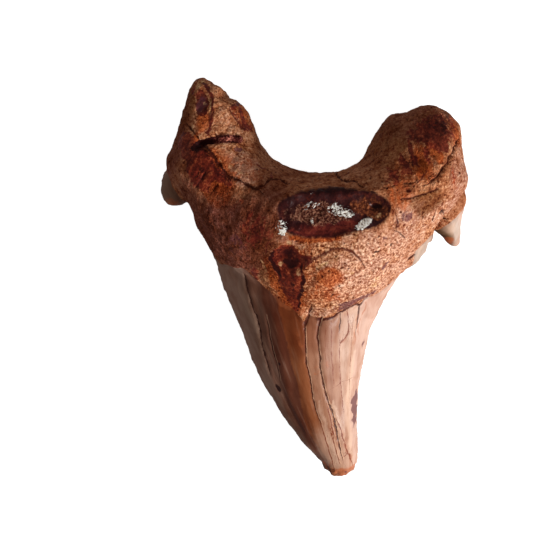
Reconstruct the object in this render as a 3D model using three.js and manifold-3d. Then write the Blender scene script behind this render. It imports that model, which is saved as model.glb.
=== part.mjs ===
// A fossil shark tooth in millimetres, +Z up, lying on its flat outer (labial) face.
// Its crown points towards -Y, the two root lobes towards +Y, and the rounded inner (lingual) face is up.
// Root, crown and side cusps grew as one piece, so they are lofted apart and joined into one solid.
import * as THREE from "three";
import { ImprovedNoise } from "three/addons/math/ImprovedNoise.js";
import { mergeVertices } from "three/addons/utils/BufferGeometryUtils.js";
import Module from "manifold-3d";

// Every loft runs through stations, and each station is a section between two points of the tooth's outline.
// from, to: those two points; edge: their height; crest: where the section is highest, as a share of the way
// from the first point to the second, and that height; under: the height of the flat face below.

// Root: a thick yoke from the left lobe's tip round the notch to the right lobe's, its sections fanned out.
const ROOT_STATIONS = [
  { from: [-13.0, 29.6], to: [-15.7, 29.1], edge: 5.2, crest: [0.5, 7.6], under: 0.9 },
  { from: [-11.3, 28.1], to: [-16.3, 27.4], edge: 5.2, crest: [0.56, 8.8], under: 0.3 },
  { from: [-8.6, 25.7], to: [-17.1, 24.8], edge: 5.2, crest: [0.66, 10.2], under: -0.15 },
  { from: [-6.8, 22.3], to: [-18.4, 21.2], edge: 5.2, crest: [0.62, 11.4], under: -0.15 },
  { from: [-5.9, 20.3], to: [-19.3, 17.6], edge: 5.2, crest: [0.48, 12.4], under: 0.0 },
  { from: [-4.7, 19.0], to: [-16.5, 12.4], edge: 5.2, crest: [0.38, 13.3], under: 0.3 },
  { from: [-3.2, 18.1], to: [-13.3, 6.8], edge: 5.2, crest: [0.3, 14.2], under: 0.6 },
  { from: [-1.2, 17.3], to: [-7.0, 1.7], edge: 5.2, crest: [0.2, 15.2], under: 0.9 },
  { from: [1.4, 17.0], to: [2.2, -3.2], edge: 5.2, crest: [0.16, 15.7], under: 1.0 },
  { from: [4.0, 17.2], to: [8.8, 1.2], edge: 5.2, crest: [0.19, 15.6], under: 0.9 },
  { from: [5.9, 18.0], to: [13.0, 5.9], edge: 5.2, crest: [0.27, 15.2], under: 0.6 },
  { from: [7.0, 19.1], to: [16.5, 10.6], edge: 5.2, crest: [0.38, 14.4], under: 0.3 },
  { from: [7.7, 20.5], to: [19.4, 15.4], edge: 5.2, crest: [0.53, 13.4], under: 0.0 },
  { from: [8.6, 22.3], to: [19.2, 19.8], edge: 5.2, crest: [0.63, 12.3], under: -0.15 },
  { from: [9.6, 24.0], to: [18.4, 22.9], edge: 5.2, crest: [0.66, 10.8], under: -0.15 },
  { from: [11.3, 24.9], to: [17.2, 24.8], edge: 5.2, crest: [0.6, 9.4], under: 0.3 },
  { from: [13.0, 25.3], to: [16.0, 25.6], edge: 5.2, crest: [0.55, 8.2], under: 0.9 },
];
const ROOT_SIDES = {
  from: { power: 2, fullness: 0.38 },
  to: { power: 2, fullness: 0.54 },
  under: { power: 4, fullness: 0.5 },
};
const LOBE_END = 0.06; // share of the yoke's length that rounds over at each lobe's end
const ROOT_LUMP = { size: 7.0, height: 0.45 }; // broad lumps all over the root
const ROOT_GRAIN = { size: 2.6, height: 0.16 }; // smaller unevenness on top of them

// Crown: a blade between two cutting edges, from its broken tip to where it ends inside the root.
const CROWN_STATIONS = [
  { from: [2.6, -28.7], to: [6.7, -28.3], edge: 2.2, crest: [0.56, 3.9], under: 1.1 },
  { from: [1.0, -26.2], to: [7.2, -25.9], edge: 2.3, crest: [0.57, 4.9], under: 0.9 },
  { from: [-2.8, -21.6], to: [7.0, -21.2], edge: 2.3, crest: [0.6, 6.2], under: 0.55 },
  { from: [-6.0, -16.4], to: [7.0, -16.0], edge: 2.4, crest: [0.57, 7.2], under: 0.25 },
  { from: [-8.4, -11.3], to: [7.5, -10.9], edge: 2.6, crest: [0.55, 8.2], under: 0.05 },
  { from: [-10.2, -6.3], to: [8.2, -6.0], edge: 2.8, crest: [0.54, 9.1], under: -0.1 },
  { from: [-11.8, -1.5], to: [9.7, -1.3], edge: 3.0, crest: [0.52, 9.9], under: -0.1 },
  { from: [-13.2, 3.3], to: [12.7, 2.8], edge: 3.2, crest: [0.5, 10.4], under: 0.1 },
  { from: [-14.4, 8.0], to: [16.0, 6.2], edge: 3.3, crest: [0.5, 10.4], under: 0.5 },
  { from: [-14.6, 11.0], to: [14.6, 10.2], edge: 3.3, crest: [0.5, 10.0], under: 1.0 },
];
const CROWN_SIDES = {
  from: { power: 2, fullness: 0.78 },
  to: { power: 2, fullness: 0.78 },
  under: { power: 5, fullness: 0.6 },
};
const CROWN_TIP_END = 0.03; // share of the crown's length that the broken tip rounds over
const CROWN_FLUTES = { across: 5.5, along: 0.05, slice: 0.5, height: 0.22 }; // long low bands down the crown

// Side cusps: short blades beside the crown's base, the left one worn to a stub.
const CUSPS = {
  left: [
    { from: [-20.8, 12.8], to: [-18.1, 12.1], edge: 2.7, crest: [0.5, 4.2], under: 1.0 },
    { from: [-21.3, 14.7], to: [-16.6, 13.1], edge: 2.7, crest: [0.5, 5.0], under: 0.7 },
    { from: [-20.7, 17.2], to: [-15.8, 15.2], edge: 2.7, crest: [0.5, 5.4], under: 0.6 },
    { from: [-18.9, 19.2], to: [-14.2, 17.0], edge: 2.7, crest: [0.5, 5.4], under: 0.6 },
  ],
  right: [
    { from: [19.1, 6.8], to: [20.3, 6.8], edge: 2.3, crest: [0.5, 3.1], under: 1.2 },
    { from: [17.6, 8.7], to: [20.5, 8.4], edge: 2.5, crest: [0.5, 4.1], under: 0.9 },
    { from: [16.2, 10.5], to: [20.5, 10.8], edge: 2.7, crest: [0.5, 5.0], under: 0.7 },
    { from: [14.6, 12.8], to: [20.4, 14.0], edge: 2.8, crest: [0.5, 5.4], under: 0.6 },
    { from: [13.6, 15.0], to: [19.0, 16.6], edge: 2.8, crest: [0.5, 5.4], under: 0.6 },
  ],
};
const CUSP_TIP_END = 0.12;

// The worn oval sunk into the root's highest part: where a slightly tipped, flattened ball cuts it.
const SCAR = { at: [3.0, 13.1, 16.15], half: [8.6, 3.7, 1.7], tip: THREE.MathUtils.degToRad(-7) };

const ROOT_MESH = { rings: 56, points: 44 };
const CROWN_MESH = { rings: 34, points: 40 };
const CUSP_MESH = { rings: 9, points: 18 };
const SCAR_MESH = { round: 40, up: 26 };
const END_RINGS = 4; // rings in each rounded end
const CURVE_TENSION = 0.5;
const MERGE_DISTANCE = 1e-4; // points closer than this are one
const REACH = 100; // half the size of the block that trims the resting face

const noise = new ImprovedNoise();

function relief(point, { size, height }) {
  return height * noise.noise(point.x / size, point.y / size, point.z / size);
}

// A smooth curve through one point per station; all such curves meet their stations at the same u.
function through(stations, pick) {
  const points = stations.map((station) => new THREE.Vector3(...pick(station)));
  return new THREE.CatmullRomCurve3(points, false, "catmullrom", CURVE_TENSION);
}

// Positions along a loft from 0 to 1, closer together in its rounded ends, each with its roundness there.
function alongLoft(count, startEnd, finishEnd) {
  const steps = [];
  for (let i = 1; i <= END_RINGS && startEnd; i++) {
    const angle = (i / (END_RINGS + 1)) * (Math.PI / 2);
    steps.push({ u: startEnd * (1 - Math.cos(angle)), roundness: Math.sin(angle) });
  }
  for (let i = 0; i <= count; i++) {
    steps.push({ u: THREE.MathUtils.lerp(startEnd, 1 - finishEnd, i / count), roundness: 1 });
  }
  for (let i = END_RINGS; i >= 1 && finishEnd; i--) {
    const angle = (i / (END_RINGS + 1)) * (Math.PI / 2);
    steps.push({ u: 1 - finishEnd * (1 - Math.cos(angle)), roundness: Math.sin(angle) });
  }
  return steps;
}

// A closed surface through rings of points, with a point at the middle of the first and last ring.
function skin(rings) {
  const size = rings[0].length;
  const middles = [rings[0], rings[rings.length - 1]].map((ring) =>
    ring.reduce((sum, point) => sum.add(point), new THREE.Vector3()).divideScalar(size),
  );
  const points = [...rings.flat(), ...middles];
  const [startMiddle, finishMiddle] = [points.length - 2, points.length - 1];
  const lastRing = (rings.length - 1) * size;
  const index = [];
  for (let j = 0; j < size; j++) {
    const next = (j + 1) % size;
    index.push(startMiddle, j, next, finishMiddle, lastRing + next, lastRing + j);
    for (let start = 0; start < lastRing; start += size) {
      const [a, b, c, d] = [start + j, start + next, start + size + next, start + size + j];
      index.push(a, c, b, a, d, c);
    }
  }
  return new THREE.BufferGeometry().setFromPoints(points).setIndex(index);
}

// How high an arch stands at a distance from its crest, where 1 is the arch's foot.
function arch(distance, { power, fullness }) {
  return Math.max(0, 1 - distance ** power) ** fullness;
}

// A closed form lofted through stations. shape(point, share, lift, outward) may move each point a little:
// share runs from -1 to 1 across the section, lift from -1 below to 1 above, and outward points from the
// section's first point to its second.
function loft(stations, sides, mesh, ends, shape) {
  const from = through(stations, (station) => [...station.from, station.edge]);
  const to = through(stations, (station) => [...station.to, station.edge]);
  const middle = through(stations, ({ crest, under }) => [...crest, under]);
  const rings = alongLoft(mesh.rings, ...ends).map(({ u, roundness }) => {
    const [start, finish, heights] = [from, to, middle].map((curve) => curve.getPoint(u));
    const [crestShare, top, under] = heights.toArray();
    const crest = 2 * crestShare - 1;
    const outward = finish.clone().sub(start).setZ(0).normalize();
    const ring = [];
    for (let j = 0; j < mesh.points; j++) {
      const angle = (j / mesh.points) * 2 * Math.PI;
      const [share, lift] = [Math.cos(angle), Math.sin(angle)];
      const [side, reach] = share < crest ? [sides.from, crest + 1] : [sides.to, 1 - crest];
      const above = (top - start.z) * arch(Math.abs(share - crest) / reach, side);
      const below = (under - start.z) * arch(Math.abs(share), sides.under);
      const point = start.clone().lerp(finish, (1 + share * roundness) / 2);
      point.z = start.z + (lift > 0 ? above : below) * roundness;
      shape?.(point, share, lift, outward);
      ring.push(point);
    }
    return ring;
  });
  return skin(rings);
}

function rootGeometry() {
  return loft(ROOT_STATIONS, ROOT_SIDES, ROOT_MESH, [LOBE_END, LOBE_END], (point, share, lift, outward) => {
    const push = relief(point, ROOT_LUMP) + relief(point, ROOT_GRAIN);
    point.addScaledVector(outward, share * push);
    point.z += Math.max(lift, 0) * push;
  });
}

function crownGeometry() {
  return loft(CROWN_STATIONS, CROWN_SIDES, CROWN_MESH, [CROWN_TIP_END, 0], (point, share, lift) => {
    const { across, along, slice, height } = CROWN_FLUTES;
    point.z += height * Math.max(lift, 0) * noise.noise(share * across, point.y * along, slice);
  });
}

function scarGeometry() {
  const ball = new THREE.SphereGeometry(1, SCAR_MESH.round, SCAR_MESH.up);
  return ball.scale(...SCAR.half).rotateX(SCAR.tip).translate(...SCAR.at);
}

const wasm = await Module();
wasm.setup();

// The solid of a closed geometry, for joining and cutting.
function solidOf(geometry) {
  const bare = new THREE.BufferGeometry().setIndex(geometry.index);
  bare.setAttribute("position", geometry.getAttribute("position"));
  const merged = mergeVertices(bare, MERGE_DISTANCE);
  return new wasm.Manifold(
    new wasm.Mesh({
      numProp: 3,
      vertProperties: new Float32Array(merged.attributes.position.array),
      triVerts: new Uint32Array(merged.index.array),
    }),
  );
}

// The geometry of a joined solid, set so that its box stands centred on the origin.
function geometryOf(solid) {
  const { vertProperties, triVerts } = solid.getMesh();
  const geometry = new THREE.BufferGeometry();
  geometry.setAttribute("position", new THREE.BufferAttribute(vertProperties, 3));
  geometry.setIndex(new THREE.BufferAttribute(triVerts, 1));
  geometry.computeBoundingBox();
  const { min, max } = geometry.boundingBox;
  return geometry.translate(-(min.x + max.x) / 2, -(min.y + max.y) / 2, -min.z);
}

function cuspGeometry(stations) {
  return loft(stations, CROWN_SIDES, CUSP_MESH, [CUSP_TIP_END, 0]);
}

const pieces = [rootGeometry(), crownGeometry(), ...Object.values(CUSPS).map(cuspGeometry)];
const grown = pieces.map(solidOf).reduce((joined, piece) => joined.add(piece));
const restingBlock = new THREE.BoxGeometry(2 * REACH, 2 * REACH, REACH).translate(0, 0, REACH / 2);
const worn = grown.subtract(solidOf(scarGeometry())).intersect(solidOf(restingBlock));

const fossil = new THREE.MeshStandardMaterial({ color: 0xa5714f, roughness: 0.6, metalness: 0 });
const tooth = new THREE.Mesh(geometryOf(worn), fossil);
tooth.name = "tooth";

const part = new THREE.Group();
part.add(tooth);
export default part;
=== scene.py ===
"""A fossil shark tooth lying on its flat outer face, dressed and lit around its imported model.

The tooth is one grown piece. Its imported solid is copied, given an even fine mesh, relieved with what time
did to it (cracks, pores, a gouge, a worn oval, a broken tip) and painted with fields that its material reads.
Every size and place below is in millimetres, in the model's frame: the crown points to -Y, the root's two
lobes to +Y, and the rounded inner face is up.
"""

import logging
import math
from dataclasses import dataclass, field, replace
from enum import Enum
from typing import Any, Callable, Iterable, Mapping, Union

import bpy
import numpy as np
from mathutils import Matrix, Vector, noise

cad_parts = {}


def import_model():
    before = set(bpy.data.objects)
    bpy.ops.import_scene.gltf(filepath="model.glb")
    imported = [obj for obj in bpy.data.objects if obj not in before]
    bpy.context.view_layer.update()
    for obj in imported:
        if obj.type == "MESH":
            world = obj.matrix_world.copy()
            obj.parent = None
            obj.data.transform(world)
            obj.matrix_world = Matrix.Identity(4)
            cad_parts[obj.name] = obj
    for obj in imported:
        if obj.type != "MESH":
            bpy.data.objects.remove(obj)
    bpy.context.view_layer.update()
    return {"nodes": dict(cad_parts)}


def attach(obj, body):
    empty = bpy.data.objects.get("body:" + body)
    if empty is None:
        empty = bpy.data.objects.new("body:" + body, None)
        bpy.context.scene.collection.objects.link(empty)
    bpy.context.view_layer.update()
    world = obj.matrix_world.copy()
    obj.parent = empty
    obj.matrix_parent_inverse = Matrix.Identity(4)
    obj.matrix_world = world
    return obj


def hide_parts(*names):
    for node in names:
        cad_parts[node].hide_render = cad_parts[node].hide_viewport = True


MM = 0.001  # one millimetre in scene units
FAR = 99.0  # a distance that stands for out of reach
OUTSIDE = -9.0  # a depth that stands for well outside
AXIS_SHIFTS = (3.1, 7.7, 0.4)  # places in the noise that tell x, y and z apart
MIDDLE = 0.5  # the middle of what runs from 0 to 1
LOG = logging.getLogger("tooth")

Array = np.ndarray
Span = tuple[float, float]
Points = tuple[tuple[float, float], ...]
Colour = tuple[float, float, float, float]


class Face(Enum):
    """The face of the tooth that a mark lies on."""

    UPPER = 1
    LOWER = -1


class Fit(Enum):
    """How a crack's ends look: pinched out at both, or open where it starts at the enamel's margin."""

    PINCHED = 0
    OPEN = 1


class Lay(Enum):
    """How a colour lies on what is below it: over it, or soaked in, so that the grain still shows."""

    OVER = "MIX"
    SOAKED = "MULTIPLY"


def eased(value: Array, low: float, high: float) -> Array:
    """A smooth step from 0 at low to 1 at high."""
    share = np.clip((value - low) / (high - low), 0.0, 1.0)
    return share * share * (3.0 - 2.0 * share)


def hump(distance: Array, width: float) -> Array:
    """A bell of height 1 over a distance, down to about a third at width."""
    return np.exp(-((distance / width) ** 2))


def rumple(points: Array, size: float, octaves: int = 2, shift: float = 0.0) -> Array:
    """Smooth noise over points.

    Args:
        points: Places in millimetres, one row each.
        size: The size of the noise's lumps.
        octaves: How many finer layers it holds.
        shift: A place in the noise, to tell one use from another.

    Returns:
        One value per point, mostly between -1 and 1.
    """
    basis = "PERLIN_ORIGINAL"
    places = (points / size + shift).tolist()
    return np.array([noise.fractal(place, 1.0, 2.0, octaves, noise_basis=basis) for place in places])


@dataclass(frozen=True)
class Reading:
    """What a route says about each point: how far it is, on which side, and how far along."""

    distance: Array
    side: Array
    along: Array


@dataclass(frozen=True)
class Route:
    """A smooth line over the tooth, seen from above, through given places."""

    through: Points
    closed: bool = False
    step: float = 0.5

    def drawn(self) -> Array:
        """Draws the line as a Catmull-Rom curve.

        Returns:
            Closely spaced points along it.
        """
        given = np.array(self.through, float)
        if self.closed:
            padded = np.vstack([given[-1:], given, given[:2]])
        else:
            padded = np.vstack([2 * given[0] - given[1], given, 2 * given[-1] - given[-2]])
        rows: list[Array] = []
        for before, start, end, after in zip(padded, padded[1:], padded[2:], padded[3:]):
            count = max(1, round(float(np.linalg.norm(end - start)) / self.step))
            t = (np.arange(count) / count)[:, None]
            slope_in = (end - before) / 2
            slope_out = (after - start) / 2
            cubic = 2 * (start - end) + slope_in + slope_out
            square = 3 * (end - start) - 2 * slope_in - slope_out
            rows.append(start + slope_in * t + square * t**2 + cubic * t**3)
        rows.append(padded[-2:-1])
        return np.vstack(rows)

    def read(self, points: Array, reach: float = math.inf) -> Reading:
        """Measures points against the line.

        Args:
            points: Places in millimetres; only their x and y count.
            reach: Points further than this from the line's box count as far away.

        Returns:
            The distance, the signed distance (positive on the left of the line's way), and the share
            of the line's length at the nearest place.
        """
        line = self.drawn()
        flat = points[:, :2]
        near = ((flat > line.min(axis=0) - reach) & (flat < line.max(axis=0) + reach)).all(axis=1)
        flat = flat[near]
        best = np.full(len(flat), FAR)
        turned = np.ones(len(flat))
        walked = np.zeros(len(flat))
        starts = line[:-1]
        spans = np.diff(line, axis=0)
        lengths = np.linalg.norm(spans, axis=1)
        ends = np.concatenate([[0.0], np.cumsum(lengths)])
        for start, span, length, before in zip(starts, spans, lengths, ends):
            offset = flat - start
            share = np.clip(offset @ span / length**2, 0.0, 1.0)
            gap = offset - share[:, None] * span
            distance = np.hypot(gap[:, 0], gap[:, 1])
            closer = distance < best
            best[closer] = distance[closer]
            turn = span[0] * offset[:, 1] - span[1] * offset[:, 0]
            turned[closer] = np.where(turn[closer] < 0, -1.0, 1.0)
            walked[closer] = (before + share[closer] * length) / ends[-1]
        distance = np.full(len(points), FAR)
        side = np.full(len(points), FAR)
        along = np.zeros(len(points))
        distance[near] = best
        side[near] = best * turned
        along[near] = walked
        return Reading(distance, side, along)

    def inside(self, points: Array) -> Array:
        """Measures how deep points lie inside the closed line.

        Args:
            points: Places in millimetres; only their x and y count.

        Returns:
            The distance to the line in millimetres, negative outside it.
        """
        line = self.drawn()
        crossings = np.zeros(len(points), bool)
        x, y = points[:, 0], points[:, 1]
        for (x0, y0), (x1, y1) in zip(line, line[1:]):
            spans = (y0 > y) != (y1 > y)
            if y0 != y1:
                crossings ^= spans & (x < x0 + (y - y0) / (y1 - y0) * (x1 - x0))
        distance = self.read(points).distance
        return np.where(crossings, distance, -distance)


class Mark:
    """Something that covers a part of the surface, seen from above."""

    def cover(self, points: Array) -> Array:
        """How strongly it covers each point, from 0 to 1."""
        raise NotImplementedError


@dataclass(frozen=True)
class Patch(Mark):
    """An oval that fades out over a share of its size."""

    at: tuple[float, float]
    half: tuple[float, float]
    turn: float = 0.0
    strength: float = 1.0
    soft: float = 0.5

    def cover(self, points: Array) -> Array:
        """Works out the oval's cover.

        Args:
            points: Places in millimetres.

        Returns:
            How strongly it covers each point, from 0 to 1.
        """
        angle = math.radians(self.turn)
        x = points[:, 0] - self.at[0]
        y = points[:, 1] - self.at[1]
        across = (x * math.cos(angle) + y * math.sin(angle)) / self.half[0]
        up = (y * math.cos(angle) - x * math.sin(angle)) / self.half[1]
        return self.strength * (1 - eased(np.hypot(across, up), 1 - self.soft, 1 + self.soft))


@dataclass(frozen=True)
class Stroke(Mark):
    """A line of an even width that fades at its edges and tapers at its ends."""

    through: Points
    width: float
    strength: float = 1.0
    taper: float = 0.15
    thinnest: float = 0.25
    core: float = 0.3

    def cover(self, points: Array) -> Array:
        """Works out the line's cover.

        Args:
            points: Places in millimetres.

        Returns:
            How strongly it covers each point, from 0 to 1.
        """
        reading = Route(self.through).read(points, 2 * self.width)
        from_end = np.minimum(reading.along, 1 - reading.along)
        ends = np.clip(from_end / self.taper, self.thinnest, 1.0)
        return self.strength * (1 - eased(reading.distance / (self.width * ends), self.core, 1.0))


@dataclass(frozen=True)
class Fill(Mark):
    """A shape with a closed outline and a soft edge."""

    through: Points
    soft: float = 0.3
    strength: float = 1.0

    def cover(self, points: Array) -> Array:
        """How strongly the shape covers each point."""
        return self.strength * eased(Route(self.through, closed=True).inside(points), -self.soft, self.soft)


def covered(points: Array, marks: Iterable[Mark]) -> Array:
    """Lays marks over each other.

    Args:
        points: Places in millimetres.
        marks: The marks.

    Returns:
        How strongly they cover each point together, from 0 to 1.
    """
    bare = np.ones(len(points))
    for mark in marks:
        bare = bare * (1 - mark.cover(points))
    return 1 - bare


@dataclass(frozen=True)
class Crack:
    """A crack: its route, its width from wall to wall, its depth, and the pale chipping on its left."""

    route: Route
    width: float = 0.22
    depth: float = 0.16
    chipped: float = 0.0
    fit: Fit = Fit.PINCHED
    face: Face = Face.UPPER
    pinch: float = 0.16

    def half(self, along: Array) -> Array:
        """Works out half the crack's width, pinched out towards its ends.

        Args:
            along: Shares of the crack's length.

        Returns:
            Half its width at each of them.
        """
        finish = np.clip((1 - along) / self.pinch, 0.0, 1.0)
        start = np.clip(along / self.pinch, 0.0, 1.0) if self.fit is Fit.PINCHED else 1.0
        return self.width / 2 * np.sqrt(start * finish)


@dataclass(frozen=True)
class Band:
    """A long low ridge (or with a negative height, a furrow) down the tooth."""

    route: Route
    height: float
    width: float
    fade: float = 0.12

    def push(self, points: Array) -> Array:
        """Works out the band's relief.

        Args:
            points: Places in millimetres.

        Returns:
            How far the band lifts each point.
        """
        reading = self.route.read(points, 3 * self.width)
        ends = eased(reading.along, 0.0, self.fade) * (1 - eased(reading.along, 1 - self.fade, 1.0))
        return self.height * hump(reading.distance, self.width) * ends


@dataclass(frozen=True)
class Swell:
    """A low round swelling, or with a negative height a hollow, in the tooth's form."""

    at: tuple[float, float]
    reach: float
    height: float

    def push(self, points: Array) -> Array:
        """How far the swelling lifts each point."""
        distance = np.hypot(points[:, 0] - self.at[0], points[:, 1] - self.at[1])
        return self.height * hump(distance, self.reach)


@dataclass(frozen=True)
class Relief:
    """Uneven relief: its height, the size of its lumps, their finer layers, and its place in the noise."""

    height: float
    size: float
    octaves: int
    shift: float

    def over(self, points: Array) -> Array:
        """How far the relief lifts each point."""
        return self.height * rumple(points, self.size, self.octaves, self.shift)


# The enamel's margin on the upper face, from the crown's left edge to the right cusp, and round the outside.
UPPER_ENAMEL = Route(
    (
        (-16.0, 3.6), (-12.2, 4.2), (-9.8, 4.6), (-8.3, 4.8), (-7.4, 3.9), (-6.6, 2.8), (-5.5, 2.0),
        (-4.4, 1.1), (-3.3, 0.2), (-2.3, -0.5), (-1.3, -1.2), (-0.4, -2.4), (0.4, -1.6), (1.7, -2.0),
        (3.5, -1.7), (3.9, -1.2), (4.8, -0.8), (5.4, -0.3), (6.5, 0.0), (7.0, -0.5), (7.6, 0.7),
        (9.0, 0.5), (10.4, 1.1), (11.4, 1.7), (12.8, 2.6), (13.9, 3.9), (14.2, 4.9), (14.3, 5.8),
        (14.6, 6.8), (15.0, 8.0), (15.7, 8.9), (17.2, 8.9), (18.2, 9.6), (19.3, 10.6), (20.6, 11.7),
        (24.0, 13.0), (26.0, -30.0), (0.0, -34.0), (-20.0, -30.0),
    ),
    closed=True,
)

# The enamel's margin on the lower face, where it reaches further up the root.
LOWER_ENAMEL = Route(
    (
        (-16.0, 3.6), (-13.4, 4.6), (-11.0, 6.4), (-7.0, 8.0), (-2.0, 7.6), (1.5, 6.8), (5.0, 7.4),
        (9.0, 9.0), (13.0, 10.0), (16.3, 10.0), (17.5, 9.8), (19.0, 10.8), (20.6, 11.7), (24.0, 13.0),
        (26.0, -30.0), (0.0, -34.0), (-20.0, -30.0),
    ),
    closed=True,
)

# The worn stub of the left side cusp.
LEFT_CUSP = Route(
    ((-24.0, 11.0), (-17.6, 11.2), (-17.3, 12.6), (-18.3, 14.6), (-19.3, 16.6), (-20.0, 18.2), (-24.0, 19.5)),
    closed=True,
)

# The worn oval sunk into the root's highest part.
SCAR = Route(
    (
        (-3.4, 12.9), (-3.2, 13.8), (-2.2, 14.6), (-0.8, 15.1), (1.6, 15.5), (3.9, 15.6), (6.3, 15.4),
        (8.1, 15.0), (9.2, 14.4), (9.7, 13.6), (9.6, 12.8), (9.3, 12.1), (8.6, 11.5), (7.7, 11.1),
        (6.4, 10.8), (4.6, 10.4), (2.9, 10.0), (0.5, 9.9), (-1.1, 10.1), (-2.3, 10.5), (-3.0, 11.6),
    ),
    closed=True,
)

# The long lines down the crown where its colour changes, from the left cutting edge to the right one.
ZONES: tuple[tuple[Route, float], ...] = (
    (Route(((-8.6, 6.0), (-8.3, 1.8), (-7.0, -3.0), (-6.5, -7.5), (-5.3, -11.9), (-4.4, -14.6), (-2.9, -18.1),
            (-1.2, -21.0), (0.4, -23.8), (2.0, -26.4), (3.4, -30.0))), 0.3),
    (Route(((-6.5, 6.0), (-6.1, 0.3), (-5.4, -4.1), (-4.6, -8.2), (-3.9, -12.9), (-2.4, -18.1), (-0.7, -20.8),
            (0.7, -23.5), (2.2, -25.9), (3.6, -30.0))), 0.25),
    (Route(((-4.4, 4.0), (-3.9, 0.0), (-3.0, -4.4), (-2.3, -8.3), (-1.2, -13.2), (-0.5, -17.9), (0.4, -20.9),
            (1.9, -23.6), (3.1, -25.8), (4.0, -30.0))), 0.08),
    (Route(((-0.2, 3.0), (-0.3, -2.2), (-0.2, -6.6), (0.4, -11.3), (1.0, -15.4), (2.1, -19.1), (3.4, -23.6),
            (4.0, -25.7), (4.6, -30.0))), 0.12),
    (Route(((1.6, 3.0), (1.4, -5.2), (1.8, -9.7), (2.9, -14.8), (4.0, -18.9), (4.8, -23.4), (5.3, -26.1),
            (5.9, -30.0))), 0.12),
    (Route(((3.2, 2.0), (3.2, -6.5), (3.6, -12.0), (4.3, -16.4), (4.9, -20.0), (5.6, -23.6),
            (6.1, -30.0))), 0.3),
    (Route(((4.4, 2.0), (4.3, -4.4), (4.4, -8.0), (4.9, -15.1), (5.3, -18.6), (5.8, -21.2), (6.5, -25.0),
            (6.9, -30.0))), 0.3),
    (Route(((7.6, 3.0), (7.0, -1.0), (6.7, -5.6), (6.4, -11.1), (6.3, -15.3), (6.2, -21.4), (6.8, -25.0),
            (7.2, -30.0))), 0.3),
)

# Where the tooth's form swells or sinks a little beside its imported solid.
SWELLS: tuple[Swell, ...] = (
    Swell((-10.1, 27.2), 1.1, -0.55),
    Swell((-12.0, 28.4), 0.9, -0.3),
    Swell((-14.2, 28.2), 1.0, 0.3),
    Swell((-8.0, 24.9), 1.0, 0.15),
    Swell((-6.3, 21.4), 1.3, -0.25),
    Swell((-4.6, 19.2), 1.5, -0.3),
    Swell((-18.6, 18.6), 1.0, 0.3),
    Swell((2.8, 16.6), 2.4, 0.25),
    Swell((5.9, 17.5), 1.3, 0.25),
    Swell((12.2, 24.9), 1.1, -0.4),
    Swell((14.9, 25.2), 1.2, 0.25),
    Swell((16.9, 24.7), 0.8, -0.3),
    Swell((18.6, 22.3), 1.1, 0.3),
    Swell((20.2, 15.4), 1.8, 0.45),
    Swell((20.6, 12.6), 1.4, 0.2),
    Swell((20.4, 9.0), 1.6, -0.25),
    Swell((17.3, 8.9), 0.9, 0.45),
    Swell((15.8, 8.3), 1.0, 0.8),
    Swell((15.8, 5.4), 1.3, -0.35),
    Swell((12.8, 2.9), 1.6, -0.45),
    Swell((9.7, -2.6), 2.2, 0.4),
    Swell((8.2, -8.4), 3.0, 0.16),
    Swell((-17.2, 12.0), 1.6, -0.5),
    Swell((-14.6, 9.4), 1.2, 0.15),
    Swell((-13.2, 6.0), 1.8, 0.3),
    Swell((-12.3, 0.8), 2.2, 0.2),
    Swell((-9.6, -6.6), 3.0, -0.2),
    Swell((0.0, -23.8), 1.4, 0.2),
    Swell((4.2, -28.8), 0.9, 0.2),
)

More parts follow.
